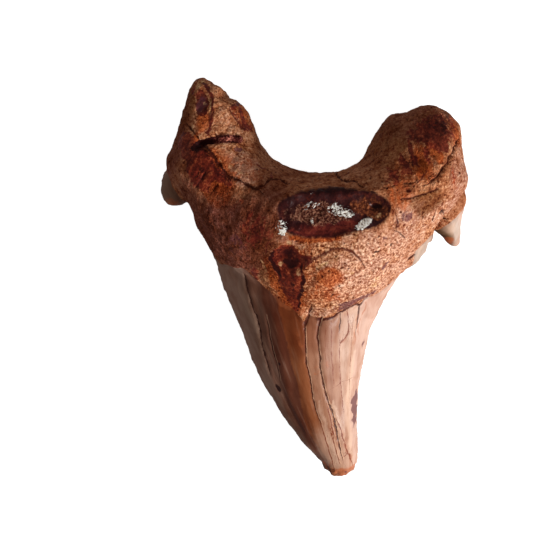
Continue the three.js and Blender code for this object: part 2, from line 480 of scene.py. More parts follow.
CRACKS: tuple[Crack, ...] = (
    Crack(Route(((-8.5, 3.6), (-8.3, 1.8), (-7.9, 0.2), (-7.5, -1.3), (-7.0, -3.0), (-6.6, -5.4),
                 (-6.4, -7.5), (-5.9, -9.6), (-5.3, -11.9))), width=0.19, depth=0.15, fit=Fit.OPEN),
    Crack(Route(((-5.6, -1.8), (-5.3, -4.1), (-5.0, -6.4), (-4.6, -8.2), (-4.2, -10.2), (-3.9, -12.4))),
          width=0.12, depth=0.1, chipped=0.8),
    Crack(Route(((0.8, 0.1), (0.5, -0.9), (-0.2, -2.1), (-0.3, -3.5), (-0.2, -5.8), (-0.1, -8.9),
                 (0.4, -11.3), (0.6, -13.4), (1.0, -15.4), (1.4, -17.2), (1.9, -18.6))),
          width=0.16, depth=0.12, chipped=0.8),
    Crack(Route(((1.9, -1.9), (1.5, -3.3), (1.4, -5.2), (1.7, -7.4), (1.8, -9.7), (2.4, -12.6), (2.9, -14.8),
                 (3.6, -16.9), (4.0, -18.9), (4.4, -21.1), (4.8, -23.4), (5.2, -25.2))),
          width=0.21, depth=0.16, chipped=1.0, fit=Fit.OPEN),
    Crack(Route(((4.4, -1.0), (4.4, -2.6), (4.3, -4.4))), width=0.12, depth=0.1, fit=Fit.OPEN),
    Crack(Route(((7.6, 0.7), (7.0, -0.7), (6.9, -2.3), (6.8, -3.7), (6.7, -5.6))), width=0.17, depth=0.12,
          fit=Fit.OPEN),
    Crack(Route(((-15.2, 23.5), (-14.5, 22.7), (-13.8, 22.1), (-13.3, 21.4))), width=0.2, depth=0.18),
    Crack(Route(((-13.0, 20.7), (-12.6, 20.2), (-11.9, 19.8), (-11.3, 19.3), (-11.1, 18.8), (-10.5, 18.4),
                 (-10.2, 17.7), (-9.8, 17.2), (-9.1, 16.9), (-8.3, 16.6), (-7.3, 16.1), (-6.5, 15.7),
                 (-5.8, 15.4), (-5.2, 15.0))), width=0.3, depth=0.26, fit=Fit.OPEN),
    Crack(Route(((-11.4, 18.2), (-10.8, 17.4), (-9.9, 16.7), (-9.3, 16.2))), width=0.1, depth=0.14),
    Crack(Route(((-6.6, 15.5), (-5.9, 15.8), (-5.2, 15.9), (-4.8, 16.4), (-3.9, 16.6), (-2.8, 16.3),
                 (-2.1, 16.1))), width=0.17, depth=0.14),
    Crack(Route(((-12.3, 17.5), (-12.9, 16.9), (-13.4, 16.2), (-14.0, 15.3))), width=0.24, depth=0.2),
    Crack(Route(((-10.8, 16.1), (-11.3, 15.5), (-11.6, 15.0))), width=0.2, depth=0.18),
    Crack(Route(((-13.2, 17.4), (-14.0, 16.6))), width=0.14, depth=0.14),
    Crack(Route(((18.6, 21.6), (17.6, 20.2), (17.3, 19.5), (16.7, 19.1), (16.5, 18.4), (16.0, 18.0),
                 (15.7, 17.5), (15.4, 16.9), (14.9, 16.6), (14.5, 16.2), (14.1, 15.9), (13.4, 15.8))),
          width=0.22, depth=0.26),
    Crack(Route(((15.2, 16.0), (15.4, 15.3), (14.7, 15.1), (14.0, 14.8), (13.2, 14.7), (12.3, 14.4),
                 (11.6, 14.4), (10.8, 14.3))), width=0.18, depth=0.18),
    Crack(Route(((15.2, 17.3), (14.5, 17.0), (14.1, 16.6))), width=0.12, depth=0.12),
    Crack(Route(((11.3, 16.2), (12.2, 16.1), (12.8, 16.3))), width=0.14, depth=0.12),
    Crack(Route(((8.9, 15.6), (9.8, 15.8), (10.6, 16.0))), width=0.1, depth=0.08),
    Crack(Route(((3.3, 17.4), (3.7, 16.8), (4.3, 16.4), (5.3, 16.4), (6.1, 16.2), (6.8, 15.8))), width=0.2,
          depth=0.16, fit=Fit.OPEN),
    Crack(Route(((-1.8, 17.8), (-1.1, 17.3), (-0.4, 17.4))), width=0.3, depth=0.16),
    Crack(Route(((0.6, 0.2), (0.3, -1.2), (0.1, -2.2), (-0.3, -3.1))), width=0.3, depth=0.16),
    Crack(Route(((10.4, 10.5), (11.3, 10.1), (12.0, 9.3))), width=0.12, depth=0.08),
    Crack(Route(((10.4, 13.0), (10.8, 11.7), (10.7, 10.6))), width=0.06, depth=0.05),
    Crack(Route(((15.6, 12.6), (15.5, 11.8), (15.6, 11.0))), width=0.08, depth=0.08),
    Crack(Route(((18.5, 10.3), (17.6, 11.0), (17.0, 12.0), (16.4, 12.6))), width=0.12, depth=0.16),
    Crack(Route(((14.4, 5.9), (13.7, 5.6), (13.3, 5.1))), width=0.2, depth=0.14),
    Crack(Route(((-6.4, 7.6), (-5.6, 2.0), (-4.4, -4.0), (-2.9, -10.2))),
          width=0.2, depth=0.16, face=Face.LOWER),
    Crack(Route(((-1.6, 7.4), (-1.0, 0.5), (0.2, -7.4), (1.4, -14.0))),
          width=0.16, depth=0.12, face=Face.LOWER),
    Crack(Route(((3.2, 7.0), (3.1, -1.0), (3.6, -9.0), (4.5, -17.0))),
          width=0.22, depth=0.18, face=Face.LOWER),
    Crack(Route(((7.4, 8.2), (6.2, 2.0), (5.6, -4.5))), width=0.12, depth=0.1, face=Face.LOWER),
)

# Fine coloured lines that lie in the surface without breaking it.
VEINS: tuple[Crack, ...] = (
    Crack(Route(((2.7, -15.3), (3.2, -17.4), (3.6, -19.4), (3.9, -20.9))), width=0.16, chipped=0.4),
    Crack(Route(((3.2, -19.4), (3.7, -21.4), (4.2, -23.4), (4.8, -26.0))), width=0.12, chipped=0.6),
    Crack(Route(((3.9, -17.6), (4.7, -19.6), (5.2, -21.8), (5.8, -23.8), (6.5, -25.9), (6.8, -27.2))),
          width=0.18),
    Crack(Route(((1.8, -18.0), (2.4, -20.5), (3.0, -23.0), (3.6, -25.4), (4.0, -27.6))),
          width=0.16, chipped=0.4),
    Crack(Route(((5.0, -24.9), (5.6, -24.5), (6.0, -24.5))), width=0.12),
    Crack(Route(((3.2, -2.0), (3.2, -6.5), (3.5, -9.9), (3.7, -12.6))), width=0.09),
    Crack(Route(((2.5, -3.0), (2.4, -6.4), (2.7, -9.6))), width=0.05),
    Crack(Route(((4.4, -5.0), (4.4, -8.0), (4.7, -13.0), (5.1, -17.4))), width=0.08),
    Crack(Route(((6.1, -2.4), (5.9, -6.4), (5.9, -11.0), (5.9, -15.4))), width=0.07),
    Crack(Route(((5.3, -0.7), (5.5, -3.0), (5.4, -4.6), (4.9, -5.6), (4.4, -6.2), (4.5, -7.7))), width=0.16),
    Crack(Route(((6.6, -12.4), (5.2, -12.1), (3.6, -12.9))), width=0.03),
    Crack(Route(((-0.7, 7.3), (0.2, 7.2), (1.0, 7.2), (1.8, 7.6), (2.5, 8.1), (3.2, 8.4), (4.0, 8.6),
                 (5.3, 8.2), (6.4, 7.2), (7.1, 5.9))), width=0.34),
    Crack(Route(((1.0, 7.2), (0.4, 6.7), (-0.1, 6.1), (-0.4, 5.6))), width=0.22),
    Crack(Route(((-13.3, 28.4), (-12.6, 27.6), (-12.0, 26.8), (-11.8, 25.8), (-11.9, 24.7), (-12.0, 23.7),
                 (-12.0, 22.7), (-12.3, 22.1), (-11.8, 21.7))), width=0.3),
    Crack(Route(((-8.7, 25.4), (-8.5, 24.4), (-8.3, 23.6), (-7.8, 22.9), (-7.0, 22.2))), width=0.2),
    Crack(Route(((-8.9, 26.0), (-9.7, 25.3), (-9.5, 24.5), (-8.9, 23.7), (-8.4, 22.9), (-7.4, 22.2))),
          width=0.2),
    Crack(Route(((10.4, 13.0), (10.8, 11.7), (10.7, 10.6))), width=0.12),
    Crack(Route(((15.6, 12.6), (15.5, 11.8), (15.6, 11.0))), width=0.14),
    Crack(Route(((-4.2, 9.8), (-4.9, 8.6), (-5.0, 7.4))), width=0.12),
    Crack(Route(((12.6, 16.0), (13.4, 16.6), (14.0, 17.6))), width=0.14),
)

# Long low bands that run down the crown between its cracks.
BANDS: tuple[Band, ...] = (
    Band(Route(((6.7, -1.0), (6.0, -3.4), (5.6, -6.4), (5.4, -12.0), (5.4, -17.0), (5.6, -20.3),
                (6.3, -24.4))), height=0.2, width=0.5),
    Band(Route(((9.2, -0.2), (7.4, -3.6), (6.8, -8.0), (6.5, -13.0), (6.4, -19.0), (6.8, -24.0))),
         height=-0.2, width=0.4),
    Band(Route(((-7.4, 2.6), (-6.4, -4.0), (-5.2, -9.6), (-3.0, -16.0), (-0.4, -22.0))),
         height=-0.15, width=0.6),
    Band(Route(((-5.0, 0.8), (-4.0, -4.6), (-3.2, -10.4), (-2.0, -16.4), (0.8, -22.4))),
         height=0.12, width=0.6),
    Band(Route(((-2.4, -1.4), (-1.6, -6.0), (-0.7, -12.0), (0.6, -18.0), (2.6, -23.6))),
         height=0.1, width=0.6),
)

# Hollows in the root. A patch's strength is its depth.
DENTS: tuple[Patch, ...] = (
    Patch((-13.1, 25.6), (0.75, 1.7), turn=-12, strength=0.16),
    Patch((-14.4, 27.6), (0.3, 0.9), turn=-24, strength=0.2),
    Patch((-2.4, 6.7), (1.7, 1.3), strength=0.25),
    Patch((-13.4, 18.0), (1.6, 1.0), turn=-40, strength=0.2),
    Patch((11.8, 15.3), (0.3, 0.3), strength=0.25),
    Patch((8.1, 13.5), (0.6, 0.35), strength=0.3),
    Patch((16.7, 12.2), (0.4, 0.3), strength=0.35),
    Patch((13.2, 13.2), (1.2, 0.8), turn=30, strength=0.2),
    Patch((-9.9, 10.8), (0.3, 0.3), strength=0.12),
)

# Warm tan bone that is paler and pinker than the rest.
BLUSH: tuple[Mark, ...] = (
    Patch((8.6, 4.8), (6.6, 5.6), turn=30, strength=0.85),
    Patch((12.6, 10.4), (3.4, 2.2), turn=20, strength=0.5),
    Patch((16.4, 12.4), (2.0, 1.6), turn=20, strength=0.7),
    Patch((18.4, 16.4), (1.4, 4.0), turn=8, strength=0.7),
    Patch((-9.8, 22.6), (2.2, 4.2), turn=20, strength=0.2),
    Patch((-1.6, 9.0), (1.7, 0.45), turn=-25, strength=0.9),
    Patch((12.0, 13.4), (1.8, 1.4), turn=20, strength=0.8),
    Patch((1.4, -0.9), (2.2, 0.8), strength=0.6),
    Patch((-8.2, 17.8), (2.2, 2.0), turn=-20, strength=0.8),
    Patch((-12.4, 22.8), (0.5, 0.9), strength=0.5),
)

# Orange stain, thin enough to let the bone's grain through.
RUST: tuple[Mark, ...] = (
    Fill(((-9.7, 25.2), (-9.2, 25.6), (-8.8, 26.1), (-7.6, 24.0), (-6.6, 21.8), (-7.4, 22.2), (-8.3, 22.7),
          (-8.8, 23.6), (-9.5, 24.5)), 0.2, 0.6),
    Patch((-12.9, 23.5), (0.9, 1.3), strength=0.85),
    Patch((-13.9, 21.5), (0.4, 0.7), turn=-30, strength=1.0),
    Patch((-11.6, 17.4), (3.6, 2.6), turn=-38, strength=0.85),
    Patch((-7.3, 18.8), (1.0, 0.8), strength=0.4),
    Patch((-6.6, 17.2), (1.4, 0.8), strength=0.42),
    Patch((-9.2, 19.0), (1.4, 1.2), strength=0.2),
    Patch((-11.0, 14.4), (2.4, 1.2), turn=-30, strength=0.5),
    Stroke(((14.3, 20.8), (15.0, 19.5), (16.0, 18.2)), 0.7, 1.0),
    Patch((13.6, 19.2), (0.9, 1.6), turn=20, strength=0.7),
    Patch((13.9, 17.2), (1.6, 1.0), strength=0.6),
    Patch((11.0, 14.8), (1.8, 1.6), turn=20, strength=0.62),
    Patch((11.4, 17.6), (2.6, 1.8), turn=30, strength=0.5),
    Patch((17.8, 21.8), (0.7, 1.8), turn=20, strength=0.7),
    Fill(((-2.0, 10.0), (1.0, 9.9), (4.4, 10.3), (4.2, 9.6), (1.4, 9.1), (-1.2, 9.3)), 0.3, 0.95),
    Patch((-1.9, 6.2), (3.0, 3.2), strength=0.7),
    Patch((-2.2, 1.8), (2.2, 3.4), turn=16, strength=0.9),
    Patch((-4.4, 4.6), (1.0, 2.6), turn=14, strength=0.6),
    Fill(((1.3, 5.0), (2.2, 5.6), (3.3, 6.0), (4.2, 5.6), (4.7, 4.7), (4.4, 3.8), (2.9, 3.4),
          (1.6, 3.8)), 0.4, 0.6),
    Patch((3.7, 5.1), (1.1, 0.9), turn=-20, strength=0.8),
    Patch((1.8, 4.9), (0.6, 0.7), strength=0.6),
    Patch((2.2, 2.3), (2.0, 1.8), strength=0.6),
    Patch((5.4, 1.6), (2.2, 1.0), turn=14, strength=0.3),
    Patch((17.6, 16.4), (0.7, 1.6), strength=0.4),
)

# Dark red-brown stain.
OXBLOOD: tuple[Mark, ...] = (
    Fill(((-13.5, 27.4), (-12.7, 26.9), (-12.5, 25.9), (-12.6, 24.9), (-12.8, 24.1), (-13.6, 24.3),
          (-13.9, 25.3), (-14.1, 26.1), (-14.0, 26.9)), 0.15, 1.0),
    Stroke(((-14.0, 28.3), (-14.5, 27.4), (-14.2, 26.6)), 0.4, 0.8),
    Stroke(((-13.3, 28.4), (-12.6, 27.6), (-12.0, 26.8), (-11.8, 25.8), (-11.9, 24.7), (-12.0, 23.7),
            (-12.0, 22.7), (-12.3, 22.1), (-11.8, 21.5)), 0.26, 1.0),
    Stroke(((-9.7, 25.2), (-9.2, 25.5), (-8.7, 26.0)), 0.45, 0.9),
    Stroke(((-8.8, 25.6), (-8.5, 24.4), (-8.3, 23.6), (-7.8, 22.9), (-7.0, 22.2)), 0.32, 1.0),
    Stroke(((-9.6, 24.9), (-8.8, 23.6), (-8.3, 22.8), (-7.4, 22.2)), 0.2, 0.6),
    Fill(((-15.4, 22.5), (-14.2, 21.9), (-13.8, 20.8), (-12.6, 20.0), (-11.6, 18.9), (-10.6, 17.8),
          (-9.6, 16.9), (-9.0, 16.2), (-9.7, 15.7), (-11.2, 16.2), (-12.6, 15.4), (-14.0, 15.6),
          (-14.8, 16.8), (-15.2, 18.2), (-16.0, 19.9), (-16.2, 21.3)), 0.45, 0.92),
    Patch((-12.0, 15.2), (1.8, 0.6), turn=-30, strength=0.5),
    Stroke(((-6.5, 18.7), (-5.6, 18.0), (-4.6, 17.3), (-4.3, 16.4)), 0.22, 0.5),
    Patch((15.3, 22.2), (2.4, 1.9), turn=-10, strength=0.8, soft=0.8),
    Stroke(((13.6, 22.2), (14.9, 21.0), (16.3, 19.6)), 1.1, 0.85),
    Patch((12.8, 21.6), (1.3, 0.9), strength=0.55),
    Stroke(((11.8, 20.8), (12.3, 19.4), (13.1, 17.9)), 0.7, 0.85),
    Stroke(((10.7, 19.4), (11.5, 18.2), (12.2, 16.9)), 0.6, 0.8),
    Stroke(((9.2, 18.2), (9.9, 17.2), (10.8, 16.4)), 0.5, 0.5),
    Patch((10.2, 16.8), (1.6, 0.8), turn=20, strength=0.4),
    Stroke(((14.2, 20.4), (14.2, 19.4), (14.2, 18.4)), 0.3, 0.8),
    Patch((12.2, 15.3), (0.5, 0.4), strength=0.6),
    Patch((17.6, 17.0), (0.5, 1.4), turn=10, strength=0.35),
    Patch((18.3, 14.4), (0.5, 1.1), strength=0.3),
    Fill(((-4.5, 7.2), (-3.8, 8.4), (-2.5, 8.9), (-1.4, 8.5), (-0.6, 7.6), (-0.4, 6.6), (-1.0, 5.7),
          (-2.3, 5.0), (-3.8, 5.4), (-4.4, 6.2)), 0.3, 1.0),
    Fill(((-3.9, 5.4), (-0.4, 6.0), (-0.1, 4.2), (-0.5, 2.4), (-0.9, 0.4), (-1.0, -0.9), (-1.8, -0.8),
          (-2.7, 0.8), (-3.5, 2.4), (-3.8, 4.1)), 0.3, 0.85),
    Stroke(((2.6, 5.9), (3.3, 6.0), (4.1, 5.6), (4.6, 4.7), (4.3, 3.8)), 0.35, 0.4),
    Patch((-6.3, 10.0), (2.2, 2.4), turn=-10, strength=0.56, soft=0.8),
    Fill(((0.9, 7.3), (-0.5, 7.5), (-0.6, 6.2), (0.0, 6.0)), 0.25, 0.9),
    Patch((-6.8, 4.2), (0.5, 0.9), strength=0.8),
    Patch((-7.0, 13.2), (3.0, 1.2), turn=-20, strength=0.3),
)

# Stain so thick that it is nearly black; along the worn oval's right rim it is partly painted shadow of the
# step down into the oval.
PITCH_AND_SHADOW: tuple[Mark, ...] = (
    Patch((-13.7, 26.8), (0.3, 0.5), turn=-12, strength=0.25),
    Patch((-13.2, 24.6), (0.4, 0.3), strength=0.3),
    Patch((-13.0, 20.2), (1.0, 0.6), turn=20, strength=0.7),
    Stroke(((-13.0, 20.6), (-11.9, 19.8), (-11.1, 18.8), (-10.2, 17.7), (-9.0, 16.9)), 0.3, 0.7),
    Patch((-15.0, 19.6), (0.8, 1.6), turn=-20, strength=0.25),
    Patch((-13.0, 17.8), (0.9, 0.5), turn=-40, strength=0.5),
    Patch((15.8, 22.5), (1.5, 1.4), strength=0.6, soft=0.8),
    Patch((12.0, 18.5), (0.8, 1.2), turn=20, strength=0.4),
    Patch((-2.2, 7.7), (1.5, 0.8), turn=-20, strength=0.74, soft=0.7),
    Patch((-1.9, 6.3), (1.2, 0.6), turn=-10, strength=0.85),
    Stroke(((-3.9, 8.2), (-4.4, 7.2), (-4.2, 6.2), (-3.8, 5.2), (-3.3, 4.2)), 0.5, 0.85),
    Stroke(((-0.5, 7.0), (-0.3, 6.0), (-0.2, 4.2), (-0.5, 2.6), (-1.0, 0.6), (-1.2, -0.6)), 0.4, 0.75),
    Stroke(((-1.5, 3.9), (-1.5, 2.4), (-1.6, 0.4)), 0.3, 0.45),
    Patch((8.2, 13.5), (0.75, 0.4), strength=1.0, soft=0.5),
    # The worn oval's right rim: partly dark stain, partly painted shadow of the step down into it.
    Stroke(((6.0, 15.3), (8.1, 14.9), (8.7, 14.6), (9.2, 14.1), (9.6, 13.5), (9.5, 12.7), (9.1, 12.0),
            (8.4, 11.5)), 0.26, 0.7),
    Patch((-6.0, 10.4), (1.9, 1.7), strength=0.42, soft=0.9),
    Patch((16.7, 12.2), (0.45, 0.3), strength=0.9),
    Patch((4.0, 3.5), (0.2, 0.22), strength=0.9),
    Patch((8.5, 7.7), (0.28, 0.16), turn=30, strength=0.9),
    Patch((10.2, 8.6), (0.2, 0.15), strength=0.8),
    Patch((3.3, 2.0), (0.15, 0.3), strength=0.8),
    Patch((-1.2, 11.2), (1.4, 0.7), turn=-20, strength=0.6),
    Patch((-2.2, 13.2), (1.0, 1.4), turn=-30, strength=0.5),
    Patch((-4.4, -13.9), (0.36, 0.75), turn=24, strength=1.0),
    Patch((-4.1, -9.2), (0.3, 0.4), strength=0.75),
)

# A purplish brown cast over broad parts of the root: partly staining, partly painted shade on the flanks and
# slopes that face away from the light.
DUSK_AND_SHADE: tuple[Mark, ...] = (
    Patch((-9.6, 9.0), (6.4, 5.6), turn=-20, strength=1.0, soft=0.35),
    Patch((-4.6, 13.4), (3.0, 3.4), strength=0.8),
    Patch((-15.2, 12.0), (2.0, 5.6), strength=0.85),
    Patch((-17.4, 19.6), (1.6, 4.6), turn=-20, strength=0.9),
    Patch((-15.6, 25.6), (0.9, 3.6), turn=-14, strength=0.6),
    Patch((13.4, 23.4), (4.8, 2.2), turn=10, strength=0.6),
    Patch((8.6, 21.0), (1.6, 4.0), turn=-30, strength=0.3),
    Patch((18.6, 15.2), (2.0, 5.0), turn=8, strength=0.3),
    Patch((12.0, 11.6), (2.4, 1.6), turn=20, strength=0.15),
    Patch((14.6, 13.6), (1.9, 1.3), turn=20, strength=0.55),
    Patch((-0.4, 17.4), (4.0, 1.0), strength=0.3),
)

# Olive-brown in the root's softer hollows and on slopes turned from the light: partly an olive tint, partly
# painted shade.
OLIVE_AND_SHADE: tuple[Mark, ...] = (
    Patch((9.6, 20.6), (2.6, 3.6), turn=20, strength=0.5),
    Patch((-5.4, 5.6), (1.2, 2.8), turn=8, strength=0.7),
    Patch((-5.8, 9.4), (2.3, 3.0), strength=0.9, soft=0.7),
    Patch((14.4, 13.8), (2.0, 1.6), turn=20, strength=1.0),
    Patch((13.7, 17.6), (0.7, 1.2), strength=0.8),
    Patch((-15.2, 25.0), (1.1, 3.2), turn=-12, strength=0.7),
    Patch((-8.0, 14.6), (4.0, 1.2), turn=-25, strength=0.4),
)

# Mauve bloom.
MAUVE: tuple[Mark, ...] = (
    Stroke(((4.0, -0.7), (4.8, 0.0), (5.6, 0.5), (6.4, 0.9), (7.6, 1.2), (8.9, 1.6)), 0.75, 0.75),
    Patch((-13.3, 25.7), (0.6, 1.3), turn=-12, strength=0.75),
    Patch((11.9, 12.4), (0.75, 0.85), strength=0.6),
    Stroke(((10.3, 6.4), (9.9, 5.7), (9.4, 4.8)), 0.45, 0.8),
    Patch((9.2, 9.6), (0.3, 0.2), strength=0.9),
    Stroke(((-8.8, 20.5), (-8.3, 20.2), (-7.8, 20.1)), 0.35, 1.0),
    Stroke(((10.4, 13.0), (10.8, 11.7), (10.7, 10.6)), 0.25, 0.5),
    Patch((-8.9, 8.4), (1.6, 1.6), strength=0.4),
    Patch((6.95, -17.8), (0.4, 2.9), turn=-2, strength=1.0, soft=0.3),
    Patch((7.9, -7.6), (0.2, 1.0), turn=-6, strength=0.7),
    Patch((5.9, -27.5), (0.25, 0.2), strength=0.9),
)

# Orange-brown in the enamel, where it is chipped, broken or stained.
AMBER: tuple[Mark, ...] = (
    Patch((5.6, -27.7), (1.9, 0.9), strength=0.75),
    Stroke(((3.1, -8.5), (2.8, -9.1), (2.6, -9.6)), 0.25, 0.35),
    Stroke(((4.4, -18.6), (5.0, -20.6), (5.5, -22.8), (6.1, -25.0), (6.6, -27.0)), 0.4, 0.35),
    Stroke(((5.5, -3.0), (5.4, -4.6), (4.9, -5.6), (4.4, -6.2)), 0.4, 0.3),
    Stroke(((2.6, -26.0), (2.8, -27.2), (3.2, -28.4)), 0.5, 0.8),
    Stroke(((3.6, -25.4), (3.5, -26.4), (3.5, -27.4)), 0.2, 0.7),
    Stroke(((0.9, -9.4), (1.3, -9.2), (1.7, -9.7), (1.5, -10.4), (1.0, -10.5), (0.8, -9.8)), 0.2, 0.45),
    Stroke(((-5.4, 1.8), (-3.4, 0.0), (-1.8, -1.0)), 0.6, 0.5),
    Stroke(((-1.2, -1.6), (-0.9, -4.4), (-0.7, -7.0)), 0.5, 0.35),
    Stroke(((6.9, -1.4), (6.5, -4.4), (6.3, -7.4)), 0.3, 0.5),
    Stroke(((7.9, -0.2), (7.2, -3.4), (7.0, -7.0)), 0.2, 0.5),
    Patch((19.05, 7.3), (0.65, 0.75), strength=1.0),
    Patch((-19.0, 12.0), (1.8, 1.1), turn=-10, strength=0.7),
    Patch((2.4, -5.4), (2.2, 0.4), turn=-6, strength=0.25),
)

# Brown cast in the enamel.
TEA: tuple[Mark, ...] = (
    Patch((1.4, -3.4), (3.4, 3.0), strength=0.45),
    Patch((-2.4, -3.6), (3.2, 4.2), turn=14, strength=0.75),
    Patch((-2.4, -21.0), (2.0, 5.6), turn=32, strength=0.8),
    Patch((-0.6, -18.0), (0.9, 2.6), turn=14, strength=0.4),
    Patch((-18.6, 13.4), (1.6, 1.6), strength=0.3),
    Patch((17.9, 8.4), (1.6, 2.0), turn=30, strength=0.95),
)

# Grey-green cast in the side cusps' enamel and down the crown's left edge.
MOSS: tuple[Mark, ...] = (
    Patch((17.9, 8.3), (1.3, 2.3), turn=24, strength=1.0, soft=0.4),
    Patch((-19.2, 14.4), (2.2, 2.4), strength=0.5),
    Patch((-7.4, -3.0), (1.4, 6.0), turn=14, strength=0.25),
)

# Pale places in the enamel.
PALE: tuple[Mark, ...] = (
    Patch((3.0, -23.4), (1.3, 3.6), turn=20, strength=0.34),
    Patch((5.0, -25.0), (1.6, 2.4), strength=0.2),
    Stroke(((3.3, -14.6), (4.4, -18.4), (5.2, -22.0)), 0.5, 0.45),
    Stroke(((1.6, -15.0), (2.6, -19.4), (4.0, -24.0)), 0.5, 0.3),
    Stroke(((6.6, -8.0), (6.0, -14.0), (6.0, -20.0), (6.6, -25.0)), 0.6, 0.5),
    Patch((18.9, 9.4), (0.7, 0.9), turn=20, strength=0.4),
    Patch((14.9, 6.6), (0.5, 2.0), turn=-14, strength=0.3),
)

# Cool grey enamel on the shoulder and the right cusp.
MIST: tuple[Mark, ...] = (
    Patch((14.6, 5.8), (1.6, 3.6), turn=-25, strength=1.0),
    Patch((18.6, 9.0), (1.8, 2.6), turn=16, strength=0.9),
)

# Cream-coloured flecks and streaks in the bone, and two painted glints in the left lobe's pit.
CREAM_AND_GLINTS: tuple[Mark, ...] = (
    Stroke(((-13.5, 28.9), (-13.6, 28.1), (-13.7, 27.3)), 0.4, 1.0),
    Stroke(((-12.4, 26.6), (-12.25, 25.6), (-12.3, 24.4)), 0.26, 1.0),
    Patch((-14.3, 22.8), (0.3, 0.5), turn=-30, strength=0.5),
    # Two painted glints in the left lobe's pit.
    Patch((-12.95, 26.0), (0.16, 0.34), turn=-12, strength=0.6),
    Patch((-13.2, 24.9), (0.14, 0.22), strength=0.5),
    Patch((-3.3, 6.2), (0.4, 0.45), strength=0.55),
    Patch((-0.8, 5.3), (0.45, 0.55), strength=0.55),
    Patch((-0.4, 6.8), (0.35, 0.35), strength=0.5),
    Stroke(((-2.5, 9.5), (-1.7, 9.0), (-0.7, 8.5), (0.0, 8.8)), 0.5, 0.45),
    Stroke(((-5.5, 6.8), (-5.3, 4.5), (-4.6, 2.4)), 0.5, 0.36),
    Stroke(((16.6, 21.2), (16.7, 19.8), (16.5, 18.9)), 0.5, 0.4),
    Stroke(((7.5, 11.9), (8.3, 12.2), (8.9, 12.8)), 0.55, 0.45),
    Stroke(((0.9, 6.0), (1.8, 6.1), (2.6, 6.5)), 0.35, 0.5),
    Stroke(((4.9, 5.6), (5.4, 5.2), (6.0, 5.4)), 0.4, 0.5),
    Patch((8.6, 3.4), (1.4, 1.0), turn=30, strength=0.4),
    Stroke(((-9.9, 18.6), (-8.6, 17.7), (-7.2, 17.0)), 0.4, 0.45),
    Stroke(((-11.0, 19.2), (-10.3, 18.6)), 0.2, 0.6),
    Stroke(((14.4, 18.0), (15.0, 17.4), (15.6, 16.6)), 0.35, 0.4),
)

# Where the bone's grain is coarse and sharp.
GRIT: tuple[Mark, ...] = (
    Patch((4.0, 4.4), (9.6, 6.2), turn=10, strength=0.95, soft=0.35),
    Patch((14.4, 10.4), (4.4, 3.4), turn=20, strength=0.6),
    Patch((-10.6, 22.6), (3.2, 6.0), turn=20, strength=0.4),
    Patch((18.0, 16.0), (2.2, 5.0), strength=0.4),
)

# Pale mineral grains.
CRUST: tuple[Mark, ...] = (
    Patch((6.75, 11.25), (1.4, 0.64), turn=26, strength=0.73, soft=0.3),
    Patch((7.2, 11.7), (0.3, 0.4), strength=0.6),
    Patch((4.0, 12.9), (2.0, 0.9), turn=-12, strength=0.6),
    Patch((0.5, 13.6), (1.1, 0.7), strength=0.49),
    Patch((-3.0, 11.2), (1.0, 1.0), strength=0.6),
    Patch((-3.0, 10.4), (0.6, 0.3), strength=0.6),
    Patch((0.8, 11.7), (0.3, 0.3), strength=0.7),
    Patch((0.5, 15.1), (0.22, 0.18), strength=0.4),
)

# The rough plateau on the worn oval's floor, and the orange to its right.
PLATEAU: tuple[Mark, ...] = (Patch((1.5, 12.6), (3.7, 1.3), turn=-1, soft=0.3),)
SCAR_ORANGE: tuple[Mark, ...] = (
    Patch((7.5, 13.4), (2.4, 1.3), turn=-6, strength=0.66),
    Patch((8.4, 12.5), (1.4, 0.8), turn=24, strength=0.95),
)
SCAR_RED: tuple[Mark, ...] = (
    Stroke(((-2.0, 10.7), (0.6, 10.6), (3.0, 10.8), (5.0, 11.1), (6.4, 11.3)), 1.0, 1.0),
)

# The gouge across the left lobe, and the raised splinter in its right half.
GOUGE = Route(
    ((-13.9, 20.4), (-13.2, 20.9), (-12.4, 21.2), (-11.6, 21.3), (-10.8, 21.4), (-9.6, 21.5), (-8.5, 21.3))
)
SPLINTER = Route(((-10.8, 21.5), (-9.8, 21.6), (-8.6, 21.4)))

# Half the gouge's width: shares of its length, then the widths there.
GOUGE_HALF = ((0.0, 0.12, 0.3, 0.45, 0.55, 1.0), (0.4, 0.5, 0.36, 0.46, 0.48, 0.42))

# The point that the root's fibres fan out from.
FAN_CENTRE = (6.0, 45.0)
FAN_RADIUS = 28.0
FOLD_STRETCH = np.array([1.0, 0.25, 1.0])  # the root's folds run long along its fibres

# The point below the crown's tip that its long bands run together to.
CROWN_CENTRE = (5.5, -36.0)
CROWN_RADIUS = 24.0
RIPPLE_STRETCH = np.array([1.0, 0.12, 0.5])  # the enamel's ripples run long down the crown


def fanned(points: Array) -> Array:
    """Measures places along the root's fibres.

    Args:
        points: Places in millimetres.

    Returns:
        How far each is across the fibres, along them, and up.
    """
    x = points[:, 0] - FAN_CENTRE[0]
    y = FAN_CENTRE[1] - points[:, 1]
    return np.stack([np.arctan2(x, y) * FAN_RADIUS, np.hypot(x, y), points[:, 2]], axis=1)


